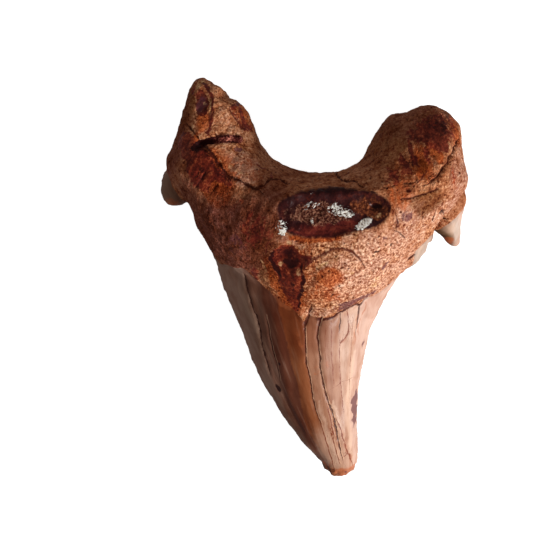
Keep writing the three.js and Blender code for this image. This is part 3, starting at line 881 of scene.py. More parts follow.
@dataclass
class ToothSkin:
    """The tooth's visible surface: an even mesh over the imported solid, its relief and its painted fields."""

    node: str = "tooth"
    cell: float = 0.225
    smoothing: int = 100
    shrink: float = 0.6
    regrow: float = -0.62
    turned_up: Span = (-0.3, 0.1)
    face_edge: float = -0.05
    wobble: Relief = Relief(0.1, 0.9, 2, 0.0)
    drift: Relief = Relief(0.4, 2.6, 2, 40.0)
    tremble: Relief = Relief(0.2, 0.7, 2, 80.0)
    crack_uneven: Relief = Relief(0.8, 0.7, 2, 5.0)
    crack_apart: float = 0.45
    crack_reach: float = 2.0
    crack_lip: float = 0.1
    margin_soft: float = 0.15
    ledge_low: float = 0.1
    ledge_extra: float = 0.16
    ledge_reach: float = 0.8
    ledge_rise: Span = (-0.1, 0.3)
    ledge_left: Span = (-1.0, 1.0)
    ledge_right: Span = (8.0, 10.0)
    lumps: Relief = Relief(0.12, 2.6, 3, 11.0)
    grain: Relief = Relief(0.07, 0.62, 2, 23.0)
    folds: Relief = Relief(0.12, 0.9, 2, 53.0)
    pore_depth: float = 0.14
    pore_gap: float = 0.9
    pore_rim: Span = (0.1, 0.34)
    pored: Relief = Relief(1.0, 3.0, 1, 41.0)
    pored_span: Span = (-0.1, 0.3)
    stain_smoothing: float = 0.5
    ripples: Relief = Relief(0.03, 0.9, 2, 31.0)
    notches: Relief = Relief(0.12, 1.1, 3, 71.0)
    edge_on: Span = (0.35, 0.75)
    broken: Relief = Relief(0.25, 0.8, 3, 17.0)
    tip_start: float = -26.8
    tip_fade: float = 0.9
    scar_step: float = 0.18
    scar_rim: Span = (-0.05, 0.35)
    scar_faintest: float = 0.2
    scar_sharp_x: Span = (3.0, 8.0)
    scar_sharp_y: Span = (12.0, 14.0)
    plateau_height: float = 0.18
    plateau_grain: Relief = Relief(0.14, 0.5, 2, 61.0)
    crust_height: float = 0.14
    crust_grain: Relief = Relief(0.14, 0.45, 2, 67.0)
    gouge_depth: float = 0.5
    gouge_width: float = 0.4
    gouge_fade: float = 0.08
    gouge_rim: Span = (0.75, 1.25)
    splinter_height: float = 0.6
    splinter_width: float = 0.26
    points: Array = field(default_factory=lambda: np.zeros((0, 3)))
    normals: Array = field(default_factory=lambda: np.zeros((0, 3)))
    places: Array = field(default_factory=lambda: np.zeros((0, 3)))
    fields: dict[str, Array] = field(default_factory=dict)

    def build(self, solid: bpy.types.Object) -> bpy.types.Object:
        """Makes the surface.

        Args:
            solid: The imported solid, which is copied and left as it is.

        Returns:
            The finished object, in metres, in the model's frame.
        """
        mesh = self._even_mesh(solid)
        self._smooth(mesh)
        self._swell(mesh)
        self._measure()
        self.fields["groove"] = self._trace("crack", CRACKS)
        self._trace("vein", VEINS)
        self._stain()
        self._relieve(mesh)
        self._store(mesh)
        tooth = bpy.data.objects.new("fossil_tooth", mesh)
        bpy.context.scene.collection.objects.link(tooth)
        return tooth

    def _even_mesh(self, solid: bpy.types.Object) -> bpy.types.Mesh:
        """Covers a copy of the solid with even small faces.

        Args:
            solid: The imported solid.

        Returns:
            The new mesh, in millimetres.
        """
        rough = solid.data.copy()
        rough.transform(Matrix.Scale(1 / MM, 4))
        holder = bpy.data.objects.new("even_mesh", rough)
        bpy.context.scene.collection.objects.link(holder)
        remesh = holder.modifiers.new("even", "REMESH")
        remesh.mode = "VOXEL"
        remesh.voxel_size = self.cell
        seen = holder.evaluated_get(bpy.context.evaluated_depsgraph_get())
        mesh = bpy.data.meshes.new_from_object(seen)
        bpy.data.objects.remove(holder)
        bpy.data.meshes.remove(rough)
        mesh.name = "fossil_tooth"
        return mesh

    def _read(self, mesh: bpy.types.Mesh) -> None:
        """Takes the mesh's points and normals into arrays.

        Args:
            mesh: The mesh.
        """
        flat = np.empty(len(mesh.vertices) * 3)
        mesh.vertices.foreach_get("co", flat)
        self.points = flat.reshape(-1, 3).copy()
        mesh.vertex_normals.foreach_get("vector", flat)
        self.normals = flat.reshape(-1, 3).copy()

    def _write(self, mesh: bpy.types.Mesh, scale: float = 1.0) -> None:
        """Puts the points back into the mesh, times a scale."""
        mesh.vertices.foreach_set("co", (self.points * scale).ravel())
        mesh.update()

    def _neighbour_mean(self, mesh: bpy.types.Mesh) -> Callable[[Array], Array]:
        """Prepares the mean over each point's neighbours.

        Args:
            mesh: The mesh.

        Returns:
            A function that takes values at the mesh's points and gives their neighbours' means.
        """
        edges = np.empty(len(mesh.edges) * 2, np.int32)
        mesh.edges.foreach_get("vertices", edges)
        ends = edges.reshape(-1, 2)
        here = ends.ravel()
        there = ends[:, ::-1].ravel()
        count = len(mesh.vertices)
        degree = np.maximum(np.bincount(here, minlength=count), 1)

        def mean(values: Array) -> Array:
            """The mean of the neighbours' values at each point."""
            columns = [np.bincount(here, weights=column[there], minlength=count) for column in values.T]
            return (np.array(columns) / degree).T

        return mean

    def _smooth(self, mesh: bpy.types.Mesh) -> None:
        """Takes the solid's facets out by shrinking and regrowing in turn, which keeps the form's size.

        Args:
            mesh: The mesh, which is changed.
        """
        self._read(mesh)
        mean = self._neighbour_mean(mesh)
        for _ in range(self.smoothing):
            self.points += self.shrink * (mean(self.points) - self.points)
            self.points += self.regrow * (mean(self.points) - self.points)
        self._write(mesh)
        self._read(mesh)

    def _swell(self, mesh: bpy.types.Mesh) -> None:
        """Swells and sinks the form where the real one differs a little from the solid.

        Args:
            mesh: The mesh, which is changed.
        """
        push = sum(swell.push(self.points) for swell in SWELLS)
        self.points = self.points + self.normals * push[:, None]
        self._write(mesh)
        self._read(mesh)

    def _shaken(self, by: Relief) -> Array:
        """The points, each moved a little, so that what is drawn on them gets uneven edges."""
        moves = [replace(by, shift=by.shift + axis).over(self.points) for axis in AXIS_SHIFTS]
        return self.points + np.stack(moves, axis=1)

    def _measure(self) -> None:
        """Works out which face each point is on and how far into the enamel and the worn oval it is."""
        upper = eased(self.normals[:, 2], *self.turned_up)
        self.places = self._shaken(self.wobble)
        above = UPPER_ENAMEL.inside(self.places)
        below = LOWER_ENAMEL.inside(self.places)
        cusp = LEFT_CUSP.inside(self.places)
        self.fields["upper"] = upper
        self.fields["enamel"] = np.maximum(above * upper + below * (1 - upper), cusp)
        self.fields["scar"] = np.where(self.normals[:, 2] > 0, SCAR.inside(self.places), OUTSIDE)
        for number, (route, soft) in enumerate(ZONES):
            self.fields[f"zone_{number}"] = eased(route.read(self.places).side, -soft, soft)

    def _trace(self, name: str, cracks: Iterable[Crack]) -> Array:
        """Works out the fields of a set of lines.

        Args:
            name: What the fields' names start with.
            cracks: The lines.

        Returns:
            How deep each point lies in them.
        """
        face = np.where(self.normals[:, 2] > self.face_edge, Face.UPPER.value, Face.LOWER.value)
        count = len(self.points)
        nearest = np.full(count, FAR)
        side = np.full(count, FAR)
        half = np.full(count, OUTSIDE)
        chip = np.zeros(count)
        groove = np.zeros(count)
        uneven = 1 + self.crack_uneven.over(self.points)
        for crack in cracks:
            reading = crack.route.read(self.places, self.crack_reach)
            crack_half = crack.half(reading.along) * uneven
            here = face == crack.face.value
            closer = here & (reading.distance < nearest)
            nearest[closer] = reading.distance[closer]
            side[closer] = reading.side[closer]
            half[closer] = (crack_half - np.maximum(0.0, reading.distance - self.crack_apart))[closer]
            chip[closer] = crack.chipped
            depth = crack.depth * crack_half / (crack.width / 2)
            dip = depth * hump(reading.distance, self.crack_lip + crack.width / 2)
            groove = np.maximum(groove, np.where(here, dip, 0.0))
        self.fields[f"{name}_side"] = side
        self.fields[f"{name}_half"] = half
        self.fields[f"{name}_chip"] = chip
        return groove

    def _stain(self) -> None:
        """Works out the cover of the stains, and of the shade, shadow and glints painted with them."""
        drifted = self._shaken(self.drift) + self._shaken(self.tremble) - self.points
        painted = {
            "blush": BLUSH, "rust": RUST, "oxblood": OXBLOOD, "pitch": PITCH_AND_SHADOW, "dusk_and_shade": DUSK_AND_SHADE, "olive_and_shade": OLIVE_AND_SHADE,
            "mauve": MAUVE, "amber": AMBER, "tea": TEA, "moss": MOSS, "pale": PALE, "mist": MIST,
            "cream_and_glint": CREAM_AND_GLINTS, "grit": GRIT, "crust": CRUST, "plateau": PLATEAU, "scar_orange": SCAR_ORANGE,
            "scar_red": SCAR_RED,
        }
        for name, marks in painted.items():
            self.fields[name] = covered(drifted, marks) * self.fields["upper"]
        self.fields["dent"] = sum(patch.cover(self.places) for patch in DENTS) * self.fields["upper"]
        gouge = GOUGE.read(self.places)
        half = np.interp(gouge.along, *GOUGE_HALF)
        self.fields["gouge"] = (1 - eased(gouge.distance / half, *self.gouge_rim)) * self.fields["upper"]
        self.fields["gouge_share"] = gouge.along

    def _relieve(self, mesh: bpy.types.Mesh) -> None:
        """Moves the points along their normals: all that stands out of the surface or sinks into it.

        Args:
            mesh: The mesh, which is changed.
        """
        enamel = eased(self.fields["enamel"], -self.margin_soft, self.margin_soft)
        push = self._root_relief() * (1 - enamel)
        push += self._crown_relief() * enamel
        push -= self.fields["groove"]
        push += self._ledge_relief()
        push += self._scar_relief()
        push += self._gouge_relief() * self.fields["upper"]
        self.points = self.points + self.normals * push[:, None]
        self.points[:, 2] = np.maximum(self.points[:, 2], 0.0)
        self._write(mesh)
        mean = self._neighbour_mean(mesh)
        hollow = ((mean(self.points) - self.points) * self.normals).sum(axis=1)
        self.fields["hollow"] = mean(hollow[:, None])[:, 0]

    def _root_relief(self) -> Array:
        """Works out the root's lumps, folds, coarse grain, pores and dents.

        Returns:
            How far they lift each point.
        """
        lumps = self.lumps.over(self.points)
        grain = self.grain.over(self.points)
        folds = self.folds.over(fanned(self.points) * FOLD_STRETCH)
        spots = np.array([noise.voronoi(place)[0][0] for place in (self.points / self.pore_gap).tolist()])
        pored = eased(self.pored.over(self.points), *self.pored_span)
        pores = self.pore_depth * (1 - eased(spots, *self.pore_rim)) * pored
        smoother = 1 - self.stain_smoothing * self.fields["oxblood"]
        return lumps + folds + (grain - pores) * smoother - self.fields["dent"]

    def _crown_relief(self) -> Array:
        """Works out the enamel's long low bands, the notches in its cutting edges, and the broken tip.

        Returns:
            How far they lift each point.
        """
        push = np.zeros(len(self.points))
        for band in BANDS:
            push += band.push(self.points) * self.fields["upper"]
        push += self.ripples.over(self.points * RIPPLE_STRETCH)
        edge = 1 - eased(np.abs(self.normals[:, 2]), *self.edge_on)
        push += self.notches.over(self.points) * edge
        broken = 1 - eased(self.points[:, 1], self.tip_start - self.tip_fade, self.tip_start)
        push += self.broken.over(self.points) * broken
        return push

    def _ledge_relief(self) -> Array:
        """Works out the ledge at the enamel's margin, highest over the crown's right half.

        Returns:
            How far it lifts each point.
        """
        x = self.points[:, 0]
        enamel = self.fields["enamel"]
        left, right = eased(x, *self.ledge_left), eased(x, *self.ledge_right)
        height = self.ledge_low + self.ledge_extra * left * (1 - right)
        return height * (eased(-enamel, *self.ledge_rise) - MIDDLE) * hump(enamel, self.ledge_reach)

    def _scar_relief(self) -> Array:
        """Works out the worn oval: a step down, sharpest at its upper right, and its floor's rough plateau.

        Returns:
            How far it lifts each point.
        """
        x, y = self.points[:, 0], self.points[:, 1]
        sharp = eased(x, *self.scar_sharp_x) * eased(y, *self.scar_sharp_y)
        crisp = self.scar_faintest + (1 - self.scar_faintest) * sharp
        step = -self.scar_step * crisp * eased(self.fields["scar"], *self.scar_rim)
        plateau = self.fields["plateau"] * (self.plateau_height + self.plateau_grain.over(self.points))
        crust = self.fields["crust"] * (self.crust_height + self.crust_grain.over(self.points))
        return step + plateau + crust

    def _gouge_relief(self) -> Array:
        """Works out the gouge across the left lobe, with the splinter raised in its right half.

        Returns:
            How far they lift each point.
        """
        gouge = GOUGE.read(self.places, self.crack_reach)
        starts = eased(gouge.along, 0.0, self.gouge_fade)
        ends = starts * (1 - eased(gouge.along, 1 - self.gouge_fade, 1.0))
        splinter = SPLINTER.read(self.places, self.crack_reach)
        raised = self.splinter_height * hump(splinter.distance, self.splinter_width)
        return -self.gouge_depth * hump(gouge.distance, self.gouge_width) * ends + raised

    def _store(self, mesh: bpy.types.Mesh) -> None:
        """Writes the fields into the mesh, brings it to metres and shades it smooth.

        Args:
            mesh: The mesh, which is changed.
        """
        for name, values in self.fields.items():
            layer = mesh.attributes.new(name, "FLOAT", "POINT")
            layer.data.foreach_set("value", values.astype(np.float32))
        self._write(mesh, MM)
        mesh.shade_smooth()


Socket = bpy.types.NodeSocket
Input = Union["Value", Socket, float, Colour, tuple[float, float, float]]
Key = Union[str, int]
Settings = Mapping[str, Any]
Sockets = Mapping[Key, Input]
Layer = tuple[Input, Input, Lay]


class Value:
    """A number that changes over the surface: a socket with arithmetic that adds Math nodes."""

    def __init__(self, graph: "Graph", socket: Socket) -> None:
        """Wraps a socket of a graph."""
        self.graph = graph
        self.socket = socket

    def _math(self, operation: str, *inputs: Input) -> "Value":
        """A Math node of these inputs."""
        sockets = dict(enumerate(inputs))
        return self.graph.value("ShaderNodeMath", {"operation": operation}, sockets)

    def __add__(self, other: Input) -> "Value":
        """The sum."""
        return self._math("ADD", self, other)

    def __sub__(self, other: Input) -> "Value":
        """The difference."""
        return self._math("SUBTRACT", self, other)

    def __rsub__(self, other: Input) -> "Value":
        """The difference, from a number."""
        return self._math("SUBTRACT", other, self)

    def __mul__(self, other: Input) -> "Value":
        """The product."""
        return self._math("MULTIPLY", self, other)

    def __truediv__(self, other: Input) -> "Value":
        """The quotient."""
        return self._math("DIVIDE", self, other)

    def __abs__(self) -> "Value":
        """The value without its sign."""
        return self._math("ABSOLUTE", self)

    __radd__ = __add__
    __rmul__ = __mul__

    def at_least(self, other: Input) -> "Value":
        """The larger of the two."""
        return self._math("MAXIMUM", self, other)

    def at_most(self, other: Input) -> "Value":
        """The smaller of the two."""
        return self._math("MINIMUM", self, other)

    def eased(self, low: Input, high: Input) -> "Value":
        """A smooth step from 0 at low to 1 at high."""
        settings = {"interpolation_type": "SMOOTHSTEP"}
        inputs = {"Value": self, "From Min": low, "From Max": high}
        return self.graph.value("ShaderNodeMapRange", settings, inputs)


class Graph:
    """A material's node graph, built from Python expressions."""

    def __init__(self, name: str) -> None:
        """Starts a material with an empty graph."""
        self.material = bpy.data.materials.new(name)
        self.material.use_nodes = True
        self.tree = self.material.node_tree
        self.tree.nodes.clear()

    def node(self, kind: str, settings: Settings, inputs: Sockets) -> bpy.types.Node:
        """Adds a node.

        Args:
            kind: The node's type name.
            settings: Its properties, which are set first; "stops" are a colour ramp's stops.
            inputs: A number, colour, vector or link for each named or numbered socket.

        Returns:
            The node.
        """
        made = self.tree.nodes.new(kind)
        for name, setting in settings.items():
            if name == "stops":
                self._set_stops(made.color_ramp, setting)
            else:
                setattr(made, name, setting)
        for name, given in inputs.items():
            socket = made.inputs[name]
            if isinstance(given, Value):
                given = given.socket
            if isinstance(given, Socket):
                self.tree.links.new(given, socket)
            else:
                socket.default_value = given
        return made

    @staticmethod
    def _set_stops(ramp: bpy.types.ColorRamp, stops: Iterable[tuple[float, Colour]]) -> None:
        """Sets a colour ramp's stops."""
        listed = list(stops)
        while len(ramp.elements) < len(listed):
            ramp.elements.new(1.0)
        for element, (position, colour) in zip(ramp.elements, listed):
            element.position = position
            element.color = colour

    def value(self, kind: str, settings: Settings, inputs: Sockets, output: Key = 0) -> Value:
        """Adds a node for one of its outputs.

        Args:
            kind: The node's type name.
            settings: Its properties.
            inputs: What its sockets get.
            output: The output's name or number.

        Returns:
            The output, as a value.
        """
        return Value(self, self.node(kind, settings, inputs).outputs[output])

    def painted(self, name: str) -> Value:
        """A field painted on the mesh."""
        return self.value("ShaderNodeAttribute", {"attribute_name": name}, {}, "Fac")

    def noise(self, place: Socket, size: float, detail: float = 3.0, rough: float = 0.55) -> Value:
        """Smooth noise between 0 and 1 with lumps of a size in millimetres."""
        inputs = {"Vector": place, "Scale": 1 / size, "Detail": detail, "Roughness": rough}
        return self.value("ShaderNodeTexNoise", {}, inputs, "Fac")

    def cells(self, place: Socket, per_mm: float) -> tuple[Value, Value]:
        """Scattered cells: the distance to the nearest one's middle, and a chance number for each."""
        inputs = {"Vector": place, "Scale": per_mm}
        made = self.node("ShaderNodeTexVoronoi", {"feature": "F1"}, inputs)
        chance = self.value("ShaderNodeSeparateColor", {}, {0: made.outputs["Color"]})
        return Value(self, made.outputs["Distance"]), chance

    def vector(self, x: Input, y: Input, z: Input) -> Socket:
        """Three values as a vector."""
        return self.node("ShaderNodeCombineXYZ", {}, {0: x, 1: y, 2: z}).outputs[0]

    def ramp(self, value: Input, stops: Iterable[tuple[float, Colour]]) -> Socket:
        """The colour that a value has on a ramp of colours."""
        return self.node("ShaderNodeValToRGB", {"stops": stops}, {0: value}).outputs[0]

    def laid(self, ground: Input, layers: Iterable[Layer]) -> Input:
        """Colours laid on a ground, one after another, each by its share and in its way."""
        for share, colour, lay in layers:
            settings = {"data_type": "RGBA", "blend_type": lay.value}
            ground = self.node("ShaderNodeMix", settings, {0: share, 6: ground, 7: colour}).outputs[2]
        return ground


def shade(red: int, green: int, blue: int) -> Colour:
    """A colour given as it looks on a screen, from 0 to 255, turned into linear light."""
    parts = [channel / 255 for channel in (red, green, blue)]
    linear = [part / 12.92 if part <= 0.04045 else ((part + 0.055) / 1.055) ** 2.4 for part in parts]
    return (linear[0], linear[1], linear[2], 1.0)


Stops = tuple[tuple[float, Colour], ...]


@dataclass(frozen=True)
class BoneFinish:
    """The root's porous bone: grains over darker hollows, in tan and in a paler blush, with the shade painted
    on it.
    """

    tan: Stops = (
        (0.36, shade(90, 34, 19)),
        (0.45, shade(158, 94, 60)),
        (0.54, shade(198, 134, 94)),
        (0.64, shade(244, 190, 146)),
    )
    blush: Stops = (
        (0.36, shade(108, 46, 30)),
        (0.45, shade(182, 120, 90)),
        (0.54, shade(214, 160, 129)),
        (0.64, shade(255, 216, 186)),
    )
    cream_and_glint: Stops = (
        (0.4, shade(156, 100, 60)),
        (0.5, shade(214, 162, 110)),
        (0.62, shade(248, 208, 160)),
    )
    # Laid in the mesh's hollows and pores: partly dirt, partly painted shade.
    dirt_and_shade: Colour = shade(78, 28, 17)
    mottle: Colour = shade(202, 174, 170)
    ochre: Colour = shade(238, 212, 180)
    # Partly staining, partly painted shade.
    dusk_and_shade: Colour = shade(172, 146, 160)
    # Partly an olive tint, partly painted shade.
    olive_and_shade: Colour = shade(210, 200, 176)
    mottle_share: float = 0.55
    ochre_share: float = 0.45
    fibre_share: float = 0.4
    dirt_and_shade_share: float = 0.22
    pore_share: float = 0.85
    cream_and_glint_share: float = 0.85
    coarse_size: float = 1.5
    fibre_size: float = 0.52
    fibre_stretch: float = 0.22
    grain_size: float = 0.3
    fine_size: float = 0.2
    grains_per_mm: float = 3.6
    pores_per_mm: float = 1.8
    pore_stretch: float = 0.8
    pore_rim: Span = (0.1, 0.28)
    grain_bump: float = 0.3
    coarse_bump: float = 0.1
    fibre_bump: float = 0.1
    pore_bump: float = 0.1
    rough: float = 0.85


@dataclass(frozen=True)
class EnamelFinish:
    """The crown's enamel, in long bands from its left cutting edge to its right one."""

    bands: tuple[Colour, ...] = (
        shade(156, 124, 106),
        shade(132, 92, 74),
        shade(106, 60, 43),
        shade(138, 80, 48),
        shade(160, 112, 86),
        shade(162, 118, 95),
        shade(176, 133, 110),
        shade(202, 166, 145),
        shade(204, 168, 150),
    )
    pale: Colour = shade(224, 188, 162)
    tea: Colour = shade(206, 172, 150)
    moss: Colour = shade(164, 160, 128)
    mist: Colour = shade(192, 176, 162)
    amber: Colour = shade(170, 92, 54)
    chip: Colour = shade(224, 176, 142)
    mauve: Colour = shade(96, 50, 58)
    crack: Colour = shade(64, 18, 11)
    vein: Colour = shade(116, 50, 28)
    streak_share: float = 0.16
    shadow_share: float = 0.3
    blotch_share: float = 0.45
    hair_share: float = 0.25
    amber_share: float = 0.85
    mauve_share: float = 0.8
    chip_share: float = 0.6
    line_share: float = 0.85
    streak_size: float = 0.6
    hair_size: float = 0.14
    streak_stretch: Span = (0.06, 0.3)
    blotch_size: float = 1.2
    blotch_stretch: Span = (0.35, 0.5)
    streak_bump: float = 0.03
    hair_bump: float = 0.01
    crack_bump: float = 0.07
    rough: float = 0.5
    coat: float = 0.04


@dataclass(frozen=True)
class StainFinish:
    """The dark mineral stain that soaked the root and dried glossy; its near-black is also painted shadow
    along the worn oval's right rim, and its splinter's palest colour a painted highlight.
    """

    rust: Colour = shade(232, 174, 132)
    oxblood: Stops = (
        (0.36, shade(50, 9, 9)),
        (0.46, shade(84, 21, 15)),
        (0.54, shade(116, 38, 24)),
        (0.63, shade(180, 90, 55)),
    )
    pitch: Colour = shade(42, 8, 8)
    vein: Colour = shade(84, 26, 20)
    scar: Stops = ((0.38, shade(36, 11, 12)), (0.52, shade(54, 18, 17)), (0.64, shade(84, 32, 22)))
    scar_red: Stops = ((0.38, shade(66, 16, 15)), (0.52, shade(104, 36, 28)), (0.64, shade(136, 60, 42)))
    scar_orange: Stops = ((0.38, shade(60, 22, 13)), (0.52, shade(98, 46, 24)), (0.64, shade(164, 94, 56)))
    # The splinter's palest stop is a painted highlight on its glossy surface.
    splinter: Stops = ((0.4, shade(52, 18, 17)), (0.52, shade(92, 36, 30)), (0.62, shade(196, 120, 100)))
    splinter_start: Span = (0.42, 0.55)
    oxblood_share: float = 0.92
    pitch_and_shadow_share: float = 0.95
    scar_red_share: float = 0.9
    smoothing: float = 0.65
    rough: float = 0.42
    coat: float = 0.12


@dataclass(frozen=True)
class CrustFinish:
    """Pale mineral grains stuck in the worn oval, and the grey-brown plateau that they stand on."""

    grains: Stops = ((0.36, shade(170, 152, 124)), (0.46, shade(236, 226, 206)), (0.56, shade(255, 253, 244)))
    plateau: Stops = ((0.38, shade(48, 17, 12)), (0.49, shade(90, 45, 32)), (0.64, shade(158, 112, 88)))
    plateau_share: float = 0.85
    bump: float = 0.16
    rough: float = 0.85


@dataclass
class ToothMaterial:
    """The one material of the tooth, mixed from its finishes by the fields painted on the mesh."""

    bone: BoneFinish = BoneFinish()
    enamel: EnamelFinish = EnamelFinish()
    stain: StainFinish = StainFinish()
    crust: CrustFinish = CrustFinish()
    coat_rough: float = 0.18
    reflection: float = 0.06

    def build(self) -> bpy.types.Material:
        """Builds the material and gives it."""
        graph = Graph("fossil_tooth")
        self.graph = graph
        self._place()
        self._mask()
        colour = self._colour()
        shader = graph.node(
            "ShaderNodeBsdfPrincipled",
            {},
            {
                "Base Color": colour,
                "Roughness": self._roughness(),
                "Normal": self._bump(),
                "Coat Weight": self.glossy * self.stain.coat + self.enamelled * self.enamel.coat,
                "Coat Roughness": self.coat_rough,
                "Specular IOR Level": self.reflection,
            },
        )
        graph.node("ShaderNodeOutputMaterial", {}, {"Surface": shader.outputs[0]})
        return graph.material

    def _place(self) -> None:
        """Sets up the places in millimetres, along the root's fibres and down the crown, and their noises."""
        graph, bone, enamel = self.graph, self.bone, self.enamel
        coordinates = graph.node("ShaderNodeTexCoord", {}, {}).outputs["Object"]
        inputs = {"Vector": coordinates, "Scale": 1 / MM}
        scaled = graph.node("ShaderNodeVectorMath", {"operation": "SCALE"}, inputs)
        place = scaled.outputs["Vector"]
        parts = graph.node("ShaderNodeSeparateXYZ", {}, {0: place})
        x, y, z = (Value(graph, parts.outputs[axis]) for axis in range(3))
        angle, radius = self._polar(x - FAN_CENTRE[0], FAN_CENTRE[1] - y)
        turn, height = self._polar(x - CROWN_CENTRE[0], y - CROWN_CENTRE[1])
        self.x = x
        self.fan = graph.vector(angle * FAN_RADIUS, radius * bone.pore_stretch, z)
        fibres = graph.vector(angle * FAN_RADIUS, radius * bone.fibre_stretch, z)
        down, up = enamel.streak_stretch
        crown = graph.vector(turn * CROWN_RADIUS, height * down, z * up)
        down, up = enamel.blotch_stretch
        blotch = graph.vector(turn * CROWN_RADIUS, height * down, z * up)
        self.coarse = graph.noise(place, bone.coarse_size)
        self.fine = graph.noise(place, bone.fine_size, detail=2.0)
        self.fibres = graph.noise(fibres, bone.fibre_size, detail=3.0, rough=0.6)
        self.streak = graph.noise(crown, enamel.streak_size, detail=3.0, rough=0.55)
        self.hair = graph.noise(crown, enamel.hair_size, detail=1.5, rough=0.5)
        self.blotch = graph.noise(blotch, enamel.blotch_size, detail=2.0)
        chance = graph.cells(place, bone.grains_per_mm)[1]
        sizes = graph.noise(place, bone.grain_size, detail=2.0, rough=0.75)
        self.grain = sizes * 0.85 + chance * 0.1 + self.coarse * 0.14 - 0.045
        soft = self.grain * 0.45 + self.coarse * 0.35 + self.fibres * 0.25 - 0.025
        self.speckle = soft + (self.grain - soft) * graph.painted("grit")

    def _polar(self, across: Value, along: Value) -> tuple[Value, Value]:
        """The angle from a line and the distance from its start, for a place across and along it."""
        graph = self.graph
        angle = graph.value("ShaderNodeMath", {"operation": "ARCTAN2"}, {0: across, 1: along})
        distance = graph.value("ShaderNodeMath", {"operation": "SQRT"}, {0: across * across + along * along})
        return angle, distance

    def _frayed(self, name: str, low: float, high: float, fray: float = 1.0) -> Value:
        """A painted field with its soft edges broken up by the bone's fibres and grain.

        Args:
            name: The field.
            low: Where the stain starts to show.
            high: Where it is full.
            fray: How strongly its edges break up.

        Returns:
            The share of the surface that shows the stain.
        """
        cover = self.graph.painted(name)
        edge = (cover * (1 - cover) * 3.4 + 0.12).at_most(1.0) * cover.eased(0.0, 0.2)
        uneven = (self.fibres - MIDDLE) * 1.7 + (self.coarse - MIDDLE) * 0.9 - (self.grain - MIDDLE) * 0.4
        return (cover + uneven * edge * fray).eased(low, high)

    def _mask(self) -> None:
        """Works out where each finish shows."""
        graph = self.graph
        enamel = graph.painted("enamel") + (self.coarse - MIDDLE) * 0.2
        self.enamelled = enamel.eased(-0.06, 0.06)
        self.plain = 1 - self.enamelled
        middle, chance = graph.cells(self.fan, self.bone.pores_per_mm)
        distance = middle + (self.fine - MIDDLE) * 0.3
        self.pores = (1 - distance.eased(*self.bone.pore_rim)) * chance.eased(0.5, 0.7) * self.plain
        self.rust = self._frayed("rust", 0.1, 0.85)
        self.oxblood = self._frayed("oxblood", 0.3, 0.62) * self.plain
        self.pitch = self._frayed("pitch", 0.3, 0.75)
        self.scar = (graph.painted("scar") + (self.fibres - MIDDLE) * 0.4).eased(-0.3, 0.1)
        self.crack, self.chip = self._line("crack")
        self.vein, self.vein_chip = self._line("vein")
        margin = 1 - abs(enamel - 0.15 + (self.grain - MIDDLE) * 0.5).eased(0.15, 0.34)
        self.margin = margin * (self.x.eased(0.9, 1.6) * (1 - self.x.eased(6.8, 8.4)) * 0.8 + 0.15)
        ragged_edge = (self.fine - MIDDLE) * 0.9 + (self.fibres - MIDDLE) * 0.9
        self.gouge = (graph.painted("gouge") + ragged_edge).eased(0.3, 0.6)
        grains = (self.fine - MIDDLE) * 1.0 + (self.coarse - MIDDLE) * 0.7 + (self.grain - MIDDLE) * 0.8
        self.crusted = (graph.painted("crust") + grains).eased(0.5, 0.66)
        ragged = (self.coarse - MIDDLE) * 0.9 + (self.grain - MIDDLE) * 1.2
        self.plateau = (graph.painted("plateau") + ragged).eased(0.3, 0.75) * self.scar
        self.glossy = (self.oxblood + self.pitch + self.scar * (1 - self.plateau)).at_most(1.0)

    def _line(self, name: str) -> tuple[Value, Value]:
        """A set of lines traced on the mesh, and the pale chipping on their left."""
        graph = self.graph
        side = graph.painted(f"{name}_side")
        half = graph.painted(f"{name}_half")
        jagged = side + (self.grain - MIDDLE) * 0.4 * self.plain
        reach = abs(jagged) + (self.fine - MIDDLE) * 0.12
        line = 1 - (reach / half.at_least(0.015)).eased(0.5, 1.5)
        chip_reach = (side - 0.15 + (self.coarse - MIDDLE) * 0.12) / 0.09
        chip = (1 - abs(chip_reach).eased(0.3, 1.0)) * graph.painted(f"{name}_chip") * half.eased(0.0, 0.02)
        return line, chip

    def _colour(self) -> Input:
        """The colour: bone and enamel with their stains, then what lies on both."""
        graph = self.graph
        bone, enamel, stain = self.bone, self.enamel, self.stain
        tan = graph.ramp(self.speckle, bone.tan)
        blush = graph.ramp(self.speckle, bone.blush)
        cream_and_glint = graph.ramp(self.grain, bone.cream_and_glint)
        grains = graph.ramp(self.fine * 0.5 + self.grain * 0.5, self.crust.grains)
        line = graph.laid(enamel.vein, ((self.plain, stain.vein, Lay.OVER),))
        hollow = graph.painted("hollow")
        oxblood = graph.ramp(self.fibres * 0.4 + self.coarse * 0.2 + self.grain * 0.4, stain.oxblood)
        root = graph.laid(tan, (
            (self._frayed("blush", 0.1, 0.9), blush, Lay.OVER),
            (self.coarse.eased(0.5, 0.68) * bone.mottle_share, bone.mottle, Lay.SOAKED),
            ((1 - self.coarse).eased(0.5, 0.66) * bone.ochre_share, bone.ochre, Lay.SOAKED),
            (self.fibres.eased(0.54, 0.7) * bone.fibre_share, bone.mottle, Lay.SOAKED),
            # Painted shade, partly staining: the purplish brown cast on slopes turned from the light.
            (graph.painted("dusk_and_shade") * (0.6 + self.coarse * 0.7), bone.dusk_and_shade, Lay.SOAKED),
            # Partly an olive tint, partly painted shade in hollows and on slopes turned from the light.
            (self._frayed("olive_and_shade", 0.1, 0.9), bone.olive_and_shade, Lay.SOAKED),
            (self.rust, stain.rust, Lay.SOAKED),
            # Painted shade, partly dirt: the mesh's hollows darkened where shade falls in them.
            (hollow.eased(0.0, 0.02) * bone.dirt_and_shade_share, bone.dirt_and_shade, Lay.OVER),
            # The pores painted dark: partly dirt, partly painted shade in the holes.
            (self.pores * bone.pore_share, bone.dirt_and_shade, Lay.OVER),
            (self.oxblood * stain.oxblood_share, oxblood, Lay.OVER),
        ))
